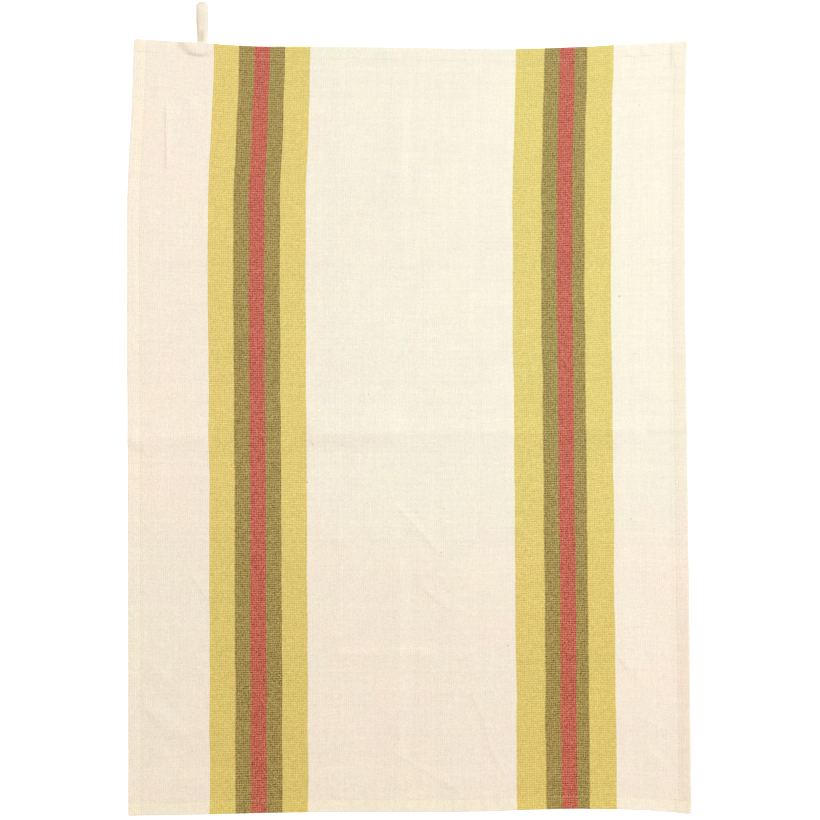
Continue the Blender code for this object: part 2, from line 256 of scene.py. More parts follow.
@dataclass(frozen=True)
class Relief:
    """How the cloth lies: its pressed folds, the creases from smoothing it by hand, and where it has relaxed.

    right_hem_nicks are the places up the towel of the nicks in its right hem, each like right_hem_nick.
    """

    creases: dict[str, Crease] = field(
        default_factory=lambda: {
            "middle_fold": Crease(-124, -22.0, 250, -19.4, 1.35, 19.0, 31.0, 56, 0.5, 0.15, 1.0),
            "middle_fold_deep": Crease(-108, -22.0, 4, -21.0, 1.20, 44.0, 18.0, 24, 0.5, 0.25, 0.1),
            "middle_fold_ridge": Crease(-36, -20.8, 100, -19.6, 0.10, 2.8, 3.2, 12, 0.4, 0.40),
            "middle_fold_left": Crease(-266, -27.5, -168, -23.5, 1.70, 20.0, 24.0, 22, 0.6, 0.20, 0.8),
            "middle_fold_right": Crease(212, -18.6, 262, -18.2, 0.62, 26.0, 6.5, 10, 0.3, 0.20),
            "left_hem_break": Crease(-257, -27.0, -233, -38.5, 0.70, 14.0, 5.5, 7, 0.4, 0.20),
            "centre_fold_low": Crease(-7.4, -350, -7.0, -118, 1.05, 26.0, 9.0, 34, 0.6, 0.50, 0.6),
            "centre_fold_high": Crease(-7.0, 120, -6.6, 300, 0.72, 20.0, 7.5, 50, 0.8, 0.50, 0.6),
            "quarter_fold": Crease(-80, -219.7, 30, -219.0, 1.05, 9.0, 16.0, 20, 0.4, 0.30, 0.9),
            "pleat": Crease(-218.3, 281, -218.1, 210, 0.62, 12.0, 3.0, 12, 0.15, 0.30, 0.4, 0.16),
            "pleat_beside": Crease(-227.0, 302, -227.0, 274, 0.36, 9.0, 3.6, 9, 0.3, 0.30),
            "high_left": Crease(-209, 294, -187, 263, 0.34, 3.6, 9.0, 8, 0.4, 0.30),
            "hand_long": Crease(-14, -82, 22, -121, 0.44, 3.8, 16.0, 9, 0.5, 0.20, 0.4, 0.14),
            "hand_long_end": Crease(12, -115, 31, -133, 0.40, 10.0, 3.6, 6, 0.3, 0.20, 0.4, 0.10),
            "hand_short": Crease(9, -158, 37, -182, 0.42, 10.0, 3.6, 6, 0.6, 0.20, 0.4, 0.12),
            "hand_short_end": Crease(40, -176, 54, -185, 0.34, 3.6, 8.0, 4, 0.3, 0.20),
            "hand_curl_high": Crease(54, -250, 68, -282, 0.42, 9.0, 3.6, 7, 0.5, 0.30, 0.4, 0.10),
            "hand_curl_middle": Crease(66, -276, 75, -313, 0.36, 9.0, 3.6, 7, 0.6, 0.30, 0.4, 0.08),
            "hand_curl_low": Crease(73, -306, 88, -332, 0.42, 8.0, 3.6, 7, 0.4, 0.20, 0.4, 0.10),
            "hand_curl_beside": Crease(66, -315, 75, -332, 0.36, 7.0, 2.6, 5, 0.3, 0.20),
            "hand_low": Crease(-18, -305, 52, -346, 0.46, 3.8, 9.0, 12, 0.9, 0.40, 0.4, 0.08),
            "hand_low_nick": Crease(8, -329, 16, -340, 0.34, 6.0, 2.6, 4, 0.3, 0.20),
            "corner_nick": Crease(-76, -337, -63, -351, 0.38, 7.0, 2.6, 5, 0.3, 0.20),
            "quarter_nick": Crease(-75, -199, -64, -209, 0.36, 8.0, 2.6, 4, 0.2, 0.10),
            "dent_left": Crease(-86, -113, -54, -121, 0.45, 14.0, 7.0, 9, 0.5, 0.30),
            "dent_right": Crease(-37, -101, -30, -121, 0.40, 11.0, 5.0, 6, 0.4, 0.20),
            "dent_far": Crease(70, -231.2, 98, -231.8, 0.28, 8.0, 2.6, 6, 0.3, 0.20),
            "left_band": Crease(-196, -149, -179, -174, 0.42, 9.0, 3.6, 6, 0.4, 0.30, 0.4, 0.08),
            "left_high": Crease(-246, -216, -196, -268, 0.38, 12.0, 7.0, 24, 1.2, 0.40),
            "left_middle": Crease(-244, -258, -186, -308, 0.42, 6.0, 12.0, 20, 1.2, 0.40),
            "left_fan": Crease(-238, -268, -221, -288, 0.50, 8.0, 3.6, 5, 0.5, 0.20),
            "left_fan_inner": Crease(-229, -267, -217, -281, 0.32, 6.0, 2.6, 4, 0.4, 0.20),
            "left_upright": Crease(-216.6, -281, -217.4, -301, 0.30, 2.8, 8.0, 6, 0.5, 0.30),
            "left_low": Crease(-248, -290, -200, -334, 0.34, 10.0, 7.0, 20, 1.2, 0.40),
            "right_high": Crease(186, -214, 218, -258, 0.36, 11.0, 6.0, 18, 1.0, 0.40),
            "right_high_nick": Crease(188, -222, 199, -237, 0.56, 8.0, 3.6, 5, 0.4, 0.20, 0.4, 0.10),
            "right_low": Crease(210, -300, 240, -330, 0.58, 4.0, 11.0, 14, 0.8, 0.40),
            "right_nick": Crease(214, 136.4, 230, 131.6, 0.46, 7.0, 3.6, 5, 0.8, 0.20, 0.4, 0.09),
            "right_hem_shade": Crease(236.4, -248, 237.2, -330, 0.34, 8.0, 3.4, 16, 0.7, 0.40),
            "right_edge_roll": Crease(251.0, -150, 253.0, -400, 1.60, 3.0, 11.5, 60, 0.3, 0.15),
            "right_hem_crossing": Crease(240.9, -347, 241.3, -365, 0.40, 6.0, 3.0, 4, 0.1, 0.10, 0.4, 0.16),
            "right_hem_top": Crease(237.6, 331, 236.8, 306, 0.95, 9.0, 3.4, 7, 0.3, 0.20),
            "top_pucker": Crease(192, 328, 199, 315, 0.64, 6.0, 3.0, 4, 0.3, 0.20),
            "top_pucker_next": Crease(207, 328, 213, 316, 0.56, 6.0, 3.0, 4, 0.3, 0.20),
            "top_dent": Crease(-21.6, 328, -21.2, 311, 0.60, 7.0, 3.0, 5, 0.4, 0.20),
            "top_dent_next": Crease(-12.6, 327, -12.2, 313, 0.48, 6.0, 3.0, 5, 0.3, 0.20),
            "bottom_dent": Crease(0.6, -346, -3.6, -364, 0.62, 5.0, 2.8, 4, 0.3, 0.10),
            "bottom_dent_right": Crease(43, -347, 42, -363, 0.46, 5.0, 3.4, 5, 0.3, 0.20),
            "bottom_dent_far": Crease(70, -343, 67, -361, 0.46, 5.0, 3.6, 5, 0.3, 0.20),
            "bottom_dent_last": Crease(82, -343, 81, -361, 0.42, 5.0, 3.0, 5, 0.3, 0.20),
        }
    )
    right_hem_nick: Crease = Crease(234, 0.0, 254, 1.6, 0.34, 5.0, 2.8, 5, 0.4, 0.30)
    right_hem_nicks: tuple[float, ...] = (
        *(-20.4, -120.0, -140.6, -187.0, -212.6, -226.0, -244.0),
        *(-265.7, -277.4, -287.0, -306.0, -320.6, -337.0),
    )
    swells: tuple[Swell, ...] = (
        Swell(-216, 190, 30, 90, 0.30),
        Swell(212, -270, 34, 80, 0.30),
        Swell(206, 60, 36, 80, 0.30),
        Swell(40, -130, 60, 80, 0.25),
        Swell(-60, -290, 70, 50, 0.30),
        Swell(-50, 285, 60, 34, 0.30),
        Swell(-120, -110, 36, 70, 0.25),
        Swell(-250, -363, 17, 15, -0.32),
        Swell(252, -360, 12, 12, -0.30),
    )
    patches: tuple[Patch, ...] = (
        Patch(-216, -268, 42, 74, 0.13, 8.0, 34.0, -48.0, 3),
        Patch(214, -278, 38, 70, 0.12, 7.0, 26.0, -38.0, 5),
        Patch(224, -176, 26, 60, 0.09, 8.0, 24.0, -42.0, 7),
        Patch(-30, -290, 80, 60, 0.08, 9.0, 30.0, -36.0, 11),
        Patch(60, -270, 40, 60, 0.08, 9.0, 30.0, -64.0, 13),
        Patch(-228, 290, 24, 60, 0.09, 6.5, 50.0, 88.0, 17),
        Patch(20, -130, 70, 70, 0.07, 10.0, 34.0, -46.0, 19),
    )
    lift: float = 0.30
    cockle: SoftNoise = SoftNoise(29, 26.0, 34.0)
    cockle_height: float = 0.10
    mottle: SoftNoise = SoftNoise(59, 6.6, 7.4, 127)
    mottle_height: float = 0.022
    grain_up: SoftNoise = SoftNoise(31, 5.5, 80.0)
    grain_across: SoftNoise = SoftNoise(37, 60.0, 6.5)
    grain_height: float = 0.013
    drift_cell: float = 19.0
    ridges_apart: float = 1.6

    def crease_rise(self, crease: Crease, x: Array, y: Array) -> Array:
        """How far a crease lifts the cloth, or lowers it if its height is negative."""
        run_x = crease.end_x - crease.start_x
        run_y = crease.end_y - crease.start_y
        length = math.hypot(run_x, run_y)
        along = ((x - crease.start_x) * run_x + (y - crease.start_y) * run_y) / length
        off = ((x - crease.start_x) * run_y - (y - crease.start_y) * run_x) / length
        drift = SoftNoise(int(length * 10) % 997, self.drift_cell).along(along)
        off = off + crease.wander * drift
        ends = eased(along / crease.fade) * eased((length - along) / crease.fade)
        reach = np.where(off > 0.0, crease.right_reach, crease.left_reach)
        crest = (1.0 - np.clip(np.abs(off) / reach, 0.0, 1.0)) ** 2
        soft = hump(off / reach, 1.0)
        strength = 1.0 - crease.uneven * (0.5 + 0.5 * drift)
        return crease.height * strength * ends * between(soft, crest, crease.crisp)

    def swell_rise(self, swell: Swell, x: Array, y: Array) -> Array:
        """How far a swell lifts the cloth."""
        away = np.hypot((x - swell.x) / swell.reach_x, (y - swell.y) / swell.reach_y)
        return swell.height * hump(away, 1.0)

    def patch_rise(self, patch: Patch, x: Array, y: Array) -> Array:
        """How far a patch of short wrinkles lifts the cloth."""
        angle = math.radians(patch.angle)
        along = (x - patch.x) * math.cos(angle) + (y - patch.y) * math.sin(angle)
        off = (y - patch.y) * math.cos(angle) - (x - patch.x) * math.sin(angle)
        inside = hump(np.hypot((x - patch.x) / patch.reach_x, (y - patch.y) / patch.reach_y), 1.0)
        ridges = SoftNoise(patch.seed, patch.length, patch.spacing / self.ridges_apart).at(along, off)
        return patch.height * inside * ridges

    def nicks(self) -> list[Crease]:
        """The right hem's nicks, which are alike apart from their places."""
        nick = self.right_hem_nick
        return [nick._replace(start_y=place, end_y=place + nick.end_y) for place in self.right_hem_nicks]

    def rise(self, x: Array, y: Array) -> Array:
        """The height of the cloth's underside, apart from what its hems and the loop do to it."""
        total = self.lift + self.cockle_height * self.cockle.at(x, y)
        total += self.mottle_height * self.mottle.at(x, y)
        total += self.grain_height * (self.grain_up.at(x, y) + self.grain_across.at(x, y))
        for crease in (*self.creases.values(), *self.nicks()):
            total += self.crease_rise(crease, x, y)
        for swell in self.swells:
            total += self.swell_rise(swell, x, y)
        for patch in self.patches:
            total += self.patch_rise(patch, x, y)
        return total


# ---- Shader maths ----


class Term:
    """A shader value that takes part in Python expressions. Each operator adds its Math node."""

    def __init__(self, graph: "Graph", socket: bpy.types.NodeSocket) -> None:
        """Wraps a node's output socket."""
        self.graph = graph
        self.socket = socket

    def __add__(self, other: "Value") -> "Term":
        """The sum of two values."""
        return self.graph.maths("ADD", self, other)

    def __sub__(self, other: "Value") -> "Term":
        """The difference of two values."""
        return self.graph.maths("SUBTRACT", self, other)

    def __rsub__(self, other: "Value") -> "Term":
        """The difference with this value as the one taken away."""
        return self.graph.maths("SUBTRACT", other, self)

    def __mul__(self, other: "Value") -> "Term":
        """The product of two values."""
        return self.graph.maths("MULTIPLY", self, other)

    def __truediv__(self, other: "Value") -> "Term":
        """The quotient of two values."""
        return self.graph.maths("DIVIDE", self, other)

    def __mod__(self, other: "Value") -> "Term":
        """The remainder, never negative."""
        return self.graph.maths("FLOORED_MODULO", self, other)

    __radd__ = __add__
    __rmul__ = __mul__

    def floor(self) -> "Term":
        """The whole number at or below this value."""
        return self.graph.maths("FLOOR", self)

    def output(self, name: str) -> "Term":
        """Another output of the node that this value comes from."""
        return Term(self.graph, self.socket.node.outputs[name])

    def sine(self) -> "Term":
        """The sine of this value in radians."""
        return self.graph.maths("SINE", self)

    def size(self) -> "Term":
        """This value without its sign."""
        return self.graph.maths("ABSOLUTE", self)

    def ramp(self, start: float, end: float, low: float = 0.0, high: float = 1.0) -> "Term":
        """This value eased from low to high as it goes from start to end."""
        return self.graph.node(
            "ShaderNodeMapRange",
            {"interpolation_type": "SMOOTHSTEP"},
            {"Value": self, "From Min": start, "From Max": end, "To Min": low, "To Max": high},
        )


Value = Term | float


class Grain(NamedTuple):
    """A smooth noise: how fine it is, how many finer layers it has, and how strong those are."""

    scale: float
    detail: float = 2.0
    roughness: float = 0.5


class Graph:
    """The node graph of one material, filled in by expressions."""

    def __init__(self, name: str) -> None:
        """Makes an empty material of that name."""
        self.material = bpy.data.materials.new(name)
        self.material.use_nodes = True
        self.material.node_tree.nodes.clear()

    def node(
        self,
        kind: str,
        settings: dict[str, object] | None = None,
        sockets: dict[str | int, object] | None = None,
        output: str | int = 0,
    ) -> Term:
        """Adds a node.

        Args:
            kind: The node's type.
            settings: Its properties, set first. stops is a colour ramp's list of places and colours.
            sockets: A value or a link for each input socket that is used, by name or index.
            output: The output that the expression goes on with.

        Returns:
            That output.
        """
        made = self.material.node_tree.nodes.new(kind)
        for name, setting in (settings or {}).items():
            if name == "stops":
                self.set_stops(made.color_ramp, setting)
            else:
                setattr(made, name, setting)
        for name, value in (sockets or {}).items():
            if isinstance(value, Term):
                self.material.node_tree.links.new(value.socket, made.inputs[name])
            else:
                made.inputs[name].default_value = value
        return Term(self, made.outputs[output]) if len(made.outputs) else Term(self, None)

    def set_stops(self, ramp: bpy.types.ColorRamp, stops: Sequence[tuple[float, Colour, float]]) -> None:
        """Sets a ramp to stepped colours and alphas, each from its place on."""
        ramp.interpolation = "CONSTANT"
        while len(ramp.elements) < len(stops):
            ramp.elements.new(1.0)
        for element, (place, colour, alpha) in zip(ramp.elements, stops):
            element.position = place
            element.color = (*colour, alpha)

    def maths(self, operation: str, *values: Value) -> Term:
        """A Math node on numbers."""
        return self.node("ShaderNodeMath", {"operation": operation}, dict(enumerate(values)))

    def mix(self, factor: Value, first: Term | Colour, second: Term | Colour, blend: str = "MIX") -> Term:
        """A mix of two colours."""
        colours = [value if isinstance(value, Term) else (*value, 1.0) for value in (first, second)]
        return self.node(
            "ShaderNodeMix",
            {"data_type": "RGBA", "blend_type": blend},
            {0: factor, 6: colours[0], 7: colours[1]},
            output=2,
        )

    def maths_on_vectors(self, operation: str, *values: Term | Colour) -> Term:
        """A Vector Math node."""
        return self.node("ShaderNodeVectorMath", {"operation": operation}, dict(enumerate(values)))

    def scaled(self, colour: Term, factor: Term) -> Term:
        """A colour made lighter or darker by a factor."""
        return self.node("ShaderNodeVectorMath", {"operation": "SCALE"}, {"Vector": colour, "Scale": factor})

    def vector(self, x: Value, y: Value) -> Term:
        """A point in the plane."""
        return self.node("ShaderNodeCombineXYZ", None, {"X": x, "Y": y})

    def plane(self, vector: Term) -> tuple[Term, Term]:
        """The two coordinates of a vector in the plane."""
        first = self.node("ShaderNodeSeparateXYZ", None, {"Vector": vector})
        return first, first.output("Y")

    def tinted(self, colour: Term, tint: Term | Colour) -> Term:
        """A colour as seen through a tint."""
        return self.mix(1.0, colour, tint, "MULTIPLY")

    def noise(self, vector: Term, grain: Grain, output: str | int = 0) -> Term:
        """Smooth noise in the plane, from 0 to 1."""
        sockets = {"Scale": grain.scale, "Detail": grain.detail, "Roughness": grain.roughness}
        return self.node(
            "ShaderNodeTexNoise", {"noise_dimensions": "2D"}, {"Vector": vector, **sockets}, output
        )

    def random(self, number: Term) -> Term:
        """A random value from 0 to 1 for each whole number."""
        return self.node("ShaderNodeTexWhiteNoise", {"noise_dimensions": "1D"}, {"W": number})

    def random_cell(self, column: Term, row: Term) -> Term:
        """A random value from 0 to 1 for each cell of a grid."""
        cell = self.vector(column, row)
        return self.node("ShaderNodeTexWhiteNoise", {"noise_dimensions": "2D"}, {"Vector": cell})

    def surface(
        self,
        colour: Term,
        roughness: Term,
        height: Term,
        relief: float,
        sheen: float = 0.0,
        glow: float = 0.0,
    ) -> None:
        """Ends the graph in a matt surface.

        Args:
            colour: The base colour.
            roughness: The roughness.
            height: The relief of the yarns or the grain, 1 at its highest.
            relief: The height that 1 stands for, in millimetres.
            sheen: The weight of the soft light that loose fibres catch.
            glow: The strength of the white light that the surface gives off itself.
        """
        normal = self.node(
            "ShaderNodeBump", None, {"Strength": 1.0, "Distance": relief * MM, "Height": height}
        )
        shader = self.node(
            "ShaderNodeBsdfPrincipled",
            None,
            {
                "Base Color": colour,
                "Roughness": roughness,
                "Normal": normal,
                "Specular IOR Level": 0.2,
                "Sheen Weight": sheen,
                "Sheen Roughness": 0.6,
                "Emission Color": (1.0, 1.0, 1.0, 1.0),
                "Emission Strength": glow,
            },
        )
        self.node("ShaderNodeOutputMaterial", None, {"Surface": shader})


# ---- Finishes ----


@dataclass(frozen=True)
class Yarn:
    """A dyed warp yarn: its colour on top of the cloth, and in the small gaps between yarns, where painted
    shade darkens it.

    cover is how far the warp stands over the weft, so that less of the weft shows.
    """

    crown: Colour
    gap: Colour
    cover: float


class Warp(Enum):
    """The yarns that the towel's warp is set up with."""

    # Each yarn's colour on its crowns, and in its gaps with painted shade.
    CREAM = Yarn((0.977, 0.884, 0.738), (0.815, 0.722, 0.576), 0.0)
    YELLOW = Yarn((0.904, 0.719, 0.246), (0.572, 0.434, 0.086), 0.8)
    OLIVE = Yarn((0.579, 0.446, 0.152), (0.131, 0.074, 0.0), 0.9)
    RED = Yarn((0.785, 0.245, 0.166), (0.271, 0.006, 0.0), 0.9)


class Band(NamedTuple):
    """A lengthwise band of the warp: its yarn, and how far it starts from the towel's left edge."""

    yarn: Warp
    start: float


class Fleck(NamedTuple):
    """A dark fleck of seed husk spun into a yarn: its place on the cloth, its size and its strength."""

    across: float
    up: float
    size: float
    strength: float


@dataclass(frozen=True)
class StripedWeave:
    """A plain weave, one over and one under, of a warp in coloured bands and a cream weft.

    The contrast between light and dark parts falls from the bottom to the top, and in the cream from left
    to right. The faint tints across the cloth, from left to right in rows from the bottom up, are painted
    light: the colour and brightness of the light. The left, right, top and bottom hems' tints are partly
    their own tone and partly painted light and shade.
    """

    outline: Outline
    creases: Sequence[Crease]
    pitch: float = 1.0
    wave: float = 0.32
    crown: float = 0.55
    relief: float = 0.10
    stray: Grain = Grain(22.0, 1.0)
    stray_across: float = 1.6
    stray_up: float = 3.2
    slub: Grain = Grain(1.0)
    slubs_apart: float = 3.7
    slub_rate: float = 0.045
    slub_height: float = 0.3
    crossing_blur: float = 0.08
    row_shade: float = 0.02
    dyed_row_shade: float = 0.26
    dent_shade: float = 0.16
    dyed_dent_fall: float = 0.03
    lint_cells: float = 2.0
    contrast: tuple[float, float] = (1.08, 0.78)
    cream_contrast: float = 0.12
    cream_contrast_fall: float = 0.30
    crown_light: float = 0.1
    end_tone: float = 0.02
    pick_tone: float = 0.024
    first_pick: float = 900.5
    warp_slub_tone: float = 0.05
    weft_slub_tone: float = 0.055
    mottle: Grain = Grain(110.0, 3.0, 0.8)
    mottle_tone: float = 0.02
    base_tone: float = 0.916
    cloud: Grain = Grain(20.0, 5.0, 0.9)
    roughness: tuple[float, float] = (0.96, 0.84)
    husk: Colour = (0.19, 0.13, 0.08)
    blush: float = 0.12
    # The dyed bands are tinted darker and yellower towards the bottom.
    lower_stripe_tint: Colour = (0.965, 0.965, 0.86)
    lower_stripe_tint_up: tuple[float, float] = (90.0, 330.0)
    # Painted light: the tint and brightness of the light across the cloth, in three rows of three.
    painted_light_tints: tuple[tuple[Colour, ...], ...] = (
        ((0.974, 0.998, 0.988), (1.0, 0.985, 0.979), (1.04, 0.994, 0.994)),
        ((1.012, 0.997, 0.997), (0.989, 1.012, 1.013), (1.009, 1.013, 1.011)),
        ((1.028, 0.993, 1.0), (0.981, 0.991, 0.989), (0.999, 0.997, 1.0)),
    )
    painted_light_columns: tuple[float, float, float] = (30.0, 250.0, 470.0)
    painted_light_low: tuple[float, float] = (190.0, 330.0)
    painted_light_high: tuple[float, float] = (430.0, 570.0)
    # Painted light: the outermost edges paler and cooler, where the white table's light shows round them.
    painted_edge_light: Colour = (0.99, 1.025, 1.10)
    painted_edge_light_span: tuple[float, float] = (0.2, 2.6)
    hem_blur: tuple[float, float] = (1.0, 0.8)
    narrow_flank: float = 1.3
    wide_flank: float = 4.0
    edge_stray: float = 0.9
    edge_stray_grain: Grain = Grain(90.0, 1.0)
    fleck_core: float = 0.25
    fleck_rim: float = 0.75
    # Each hem's own tone, with painted light on the left and bottom hems and painted shade on the right and
    # top.
    hem_tints_and_painted_light: tuple[Colour, ...] = (
        (1.013, 1.024, 0.997),
        (0.998, 0.972, 0.946),
        (1.004, 0.993, 0.994),
        (1.018, 1.038, 0.994),
    )
    hem_depth: float = 12.6
    bands: tuple[Band, ...] = (
        Band(Warp.CREAM, 0.0),
        Band(Warp.YELLOW, 71.9),
        Band(Warp.OLIVE, 95.7),
        Band(Warp.RED, 109.5),
        Band(Warp.OLIVE, 123.3),
        Band(Warp.YELLOW, 137.1),
        Band(Warp.CREAM, 160.9),
        Band(Warp.YELLOW, 348.4),
        Band(Warp.OLIVE, 372.2),
        Band(Warp.RED, 386.0),
        Band(Warp.OLIVE, 399.7),
        Band(Warp.YELLOW, 413.4),
        Band(Warp.CREAM, 437.0),
    )
    flecks: tuple[Fleck, ...] = (
        Fleck(217.1, 380.0, 1.0, 0.5),
        Fleck(161.6, 300.0, 1.0, 1.0),
        Fleck(166.6, 334.4, 1.0, 0.5),
        Fleck(193.4, 333.6, 1.0, 0.4),
        Fleck(268.6, 333.8, 0.9, 0.4),
        Fleck(310.0, 366.0, 1.0, 0.4),
        Fleck(284.4, 276.6, 1.0, 0.5),
        Fleck(281.6, 236.8, 1.0, 0.5),
        Fleck(287.4, 201.0, 1.0, 0.4),
        Fleck(323.4, 660.4, 1.0, 0.4),
        Fleck(328.4, 604.0, 0.9, 0.4),
        Fleck(461.5, 640.0, 1.0, 0.4),
        Fleck(444.2, 467.0, 1.2, 0.7),
        Fleck(452.4, 264.4, 1.1, 0.6),
        Fleck(340.8, 150.4, 1.0, 1.0),
        Fleck(241.8, 487.4, 0.9, 0.4),
        Fleck(241.6, 66.6, 1.0, 0.5),
        Fleck(457.8, 414.6, 1.0, 0.4),
    )

    def material(self) -> bpy.types.Material:
        """The cloth's material, which reads the weave's own map in metres."""
        graph = Graph("striped_plain_weave")
        place = graph.node("ShaderNodeUVMap", {"uv_map": WEAVE_MAP})
        across, up = graph.plane(place)
        across = across / MM
        up = up / MM
        stray_x, stray_y = graph.plane(graph.noise(place, self.stray, "Color"))
        x = (across + (stray_x - 0.5) * self.stray_across) / self.pitch
        y = (up + (stray_y - 0.5) * self.stray_up) / self.pitch
        end = x.floor()
        pick = y.floor()
        warp_slub = graph.noise(graph.vector(end * self.slubs_apart, y * self.slub_rate), self.slub)
        weft_slub = graph.noise(graph.vector(x * self.slub_rate, pick * self.slubs_apart), self.slub)
        band_place = (end + 0.5) * (self.pitch / self.outline.width)
        crown_colour = self.band_colours(graph, band_place, "crown")
        shaded_gap_colour = self.band_colours(graph, band_place, "gap")
        cover = crown_colour.output("Alpha")

        side = 1.0 - (end + pick) % 2.0 * 2.0
        warp_wave = side * (y * math.pi).sine().size() * self.wave
        weft_wave = side * (x * math.pi).sine().size() * (-self.wave)
        warp_off = x - end - 0.5
        weft_off = y - pick - 0.5
        warp_top = warp_wave + (1.0 - warp_off * warp_off * 4.0) * self.crown
        weft_top = weft_wave + (1.0 - weft_off * weft_off * 4.0) * self.crown
        weft_top = weft_top + (weft_slub - 0.5) * self.slub_height
        weft_shows = (weft_top - warp_top - cover).ramp(-self.crossing_blur, self.crossing_blur)
        height = graph.maths("MAXIMUM", warp_top, weft_top)

        rows = (y * math.pi).sine() * (cover * self.dyed_row_shade + self.row_shade)
        dents = (x * math.pi).sine() * (self.dent_shade - cover * self.dyed_dent_fall)
        lint = graph.random_cell((x * self.lint_cells).floor(), (y * self.lint_cells).floor()) - 0.5
        contrast = up.ramp(0.0, self.outline.length, *self.contrast)
        in_cream = self.cream_contrast - across.ramp(0.0, self.outline.width, 0.0, self.cream_contrast_fall)
        contrast = in_cream * (1.0 - cover) + contrast
        # Painted shade and light: gaps, pick rows and dents darker, crowns lighter, mixed with random lint.
        light_part = (rows + dents + lint) * contrast + (height - self.crown) * self.crown_light + 0.5
        warp_colour = graph.mix(light_part, shaded_gap_colour, crown_colour)
        weft_colour = graph.mix(light_part, Warp.CREAM.value.gap, Warp.CREAM.value.crown)
        colour = graph.mix(weft_shows, warp_colour, weft_colour)
        tone = graph.random(end) * self.end_tone + graph.random(pick + self.first_pick) * self.pick_tone
        tone = tone + warp_slub * self.warp_slub_tone + weft_slub * self.weft_slub_tone
        tone = tone + graph.noise(place, self.mottle) * self.mottle_tone + self.base_tone
        colour = graph.scaled(colour, tone)
        cloud = graph.noise(place, self.cloud, "Color")
        colour = graph.tinted(colour, graph.mix(self.blush, (1.0, 1.0, 1.0), cloud))
        # The dyed bands darker and yellower towards the bottom.
        lower_tint_share = up.ramp(*self.lower_stripe_tint_up, 1.0, 0.0) * cover
        colour = graph.mix(lower_tint_share, colour, graph.tinted(colour, self.lower_stripe_tint))
        # Painted light: the light's faint tint and brightness across the cloth.
        colour = graph.tinted(colour, self.painted_light_tint(graph, across, up))
        colour = self.with_hems(graph, colour, across, up)
        colour = graph.mix(self.fleck_mask(graph, across, up), colour, self.husk)
        roughness = height.ramp(0.0, 1.0, *self.roughness)
        height = height + self.hard_edges(graph) / self.relief
        graph.surface(colour, roughness, height, self.relief, sheen=0.15)
        return graph.material

    def hard_edges(self, graph: Graph) -> Term:
        """The height of the hard edges on the creases' crests, in millimetres."""
        place = graph.node("ShaderNodeTexCoord", output="Object")
        stray = graph.noise(place, self.edge_stray_grain, "Color")
        reach = self.edge_stray * MM
        place = graph.maths_on_vectors("MULTIPLY_ADD", stray, (reach, reach, 0.0), place)
        total: Value = 0.0
        for crease in self.creases:
            run = Vector((crease.end_x - crease.start_x, crease.end_y - crease.start_y))
            along, left = graph.plane(
                graph.node(
                    "ShaderNodeMapping",
                    {"vector_type": "TEXTURE"},
                    {
                        "Vector": place,
                        "Location": (crease.start_x * MM, crease.start_y * MM, 0.0),
                        "Rotation": (0.0, 0.0, math.atan2(run.y, run.x)),
                        "Scale": (MM, MM, MM),
                    },
                )
            )
            flanks = (self.narrow_flank, self.wide_flank)
            left_flank, right_flank = flanks if crease.left_reach < crease.right_reach else flanks[::-1]
            crest = left.ramp(0.0, left_flank, 1.0, 0.0) * left.ramp(-right_flank, 0.0)
            ends = along.ramp(0.0, crease.fade) * along.ramp(run.length - crease.fade, run.length, 1.0, 0.0)
            total = crest * ends * crease.edge + total
        return total

    def band_colours(self, graph: Graph, place: Term, part: str) -> Term:
        """The warp's colour at a place across the cloth, on the yarns' crowns or in the gaps between them,
        where painted shade darkens it.
        """
        stops = [
            (band.start / self.outline.width, getattr(band.yarn.value, part), band.yarn.value.cover)
            for band in self.bands
        ]
        return graph.node("ShaderNodeValToRGB", {"stops": stops}, {"Fac": place})

    def painted_light_tint(self, graph: Graph, across: Term, up: Term) -> Term:
        """Painted light: the faint uneven tint and brightness of the light across the cloth, from left to
        right and from the bottom to the top.
        """
        rows = []
        start, middle, end = self.painted_light_columns
        for left, centre, right in self.painted_light_tints:
            half = graph.mix(across.ramp(start, middle), left, centre)
            rows.append(graph.mix(across.ramp(middle, end), half, right))
        lower = graph.mix(up.ramp(*self.painted_light_low), rows[0], rows[1])
        return graph.mix(up.ramp(*self.painted_light_high), lower, rows[2])

    def with_hems(self, graph: Graph, colour: Term, across: Term, up: Term) -> Term:
        """The colour with the hems' tints: partly their own tone, because three layers let less light through
        than one, and partly painted light and shade, lighter on the left and bottom hems, darker on the right
        and top.

        The outermost edges are tinted paler and cooler as painted light, where the white table's light
        shows through and round them.
        """
        margins = (across, self.outline.width - across, self.outline.length - up, up)
        # Each hem's tint: its own tone, and painted light or painted shade for the side that it faces.
        for margin, tint in zip(margins, self.hem_tints_and_painted_light):
            inside = margin.ramp(self.hem_depth - self.hem_blur[0], self.hem_depth + self.hem_blur[1])
            colour = graph.mix(inside, graph.tinted(colour, tint), colour)
            # Painted light: the outermost edge paler and cooler.
            colour = graph.mix(margin.ramp(*self.painted_edge_light_span), graph.tinted(colour, self.painted_edge_light), colour)
        return colour

    def fleck_mask(self, graph: Graph, across: Term, up: Term) -> Term:
        """How dark the flecks of seed husk are here."""
        here = graph.vector(across, up)
        dark: Value = 0.0
        for fleck in self.flecks:
            centre = (fleck.across, fleck.up, 0.0)
            away = graph.maths_on_vectors("DISTANCE", here, centre).output("Value")
            core, rim = fleck.size * self.fleck_core, fleck.size * self.fleck_rim
            dark = dark + away.ramp(core, rim, fleck.strength, 0.0)
        return dark


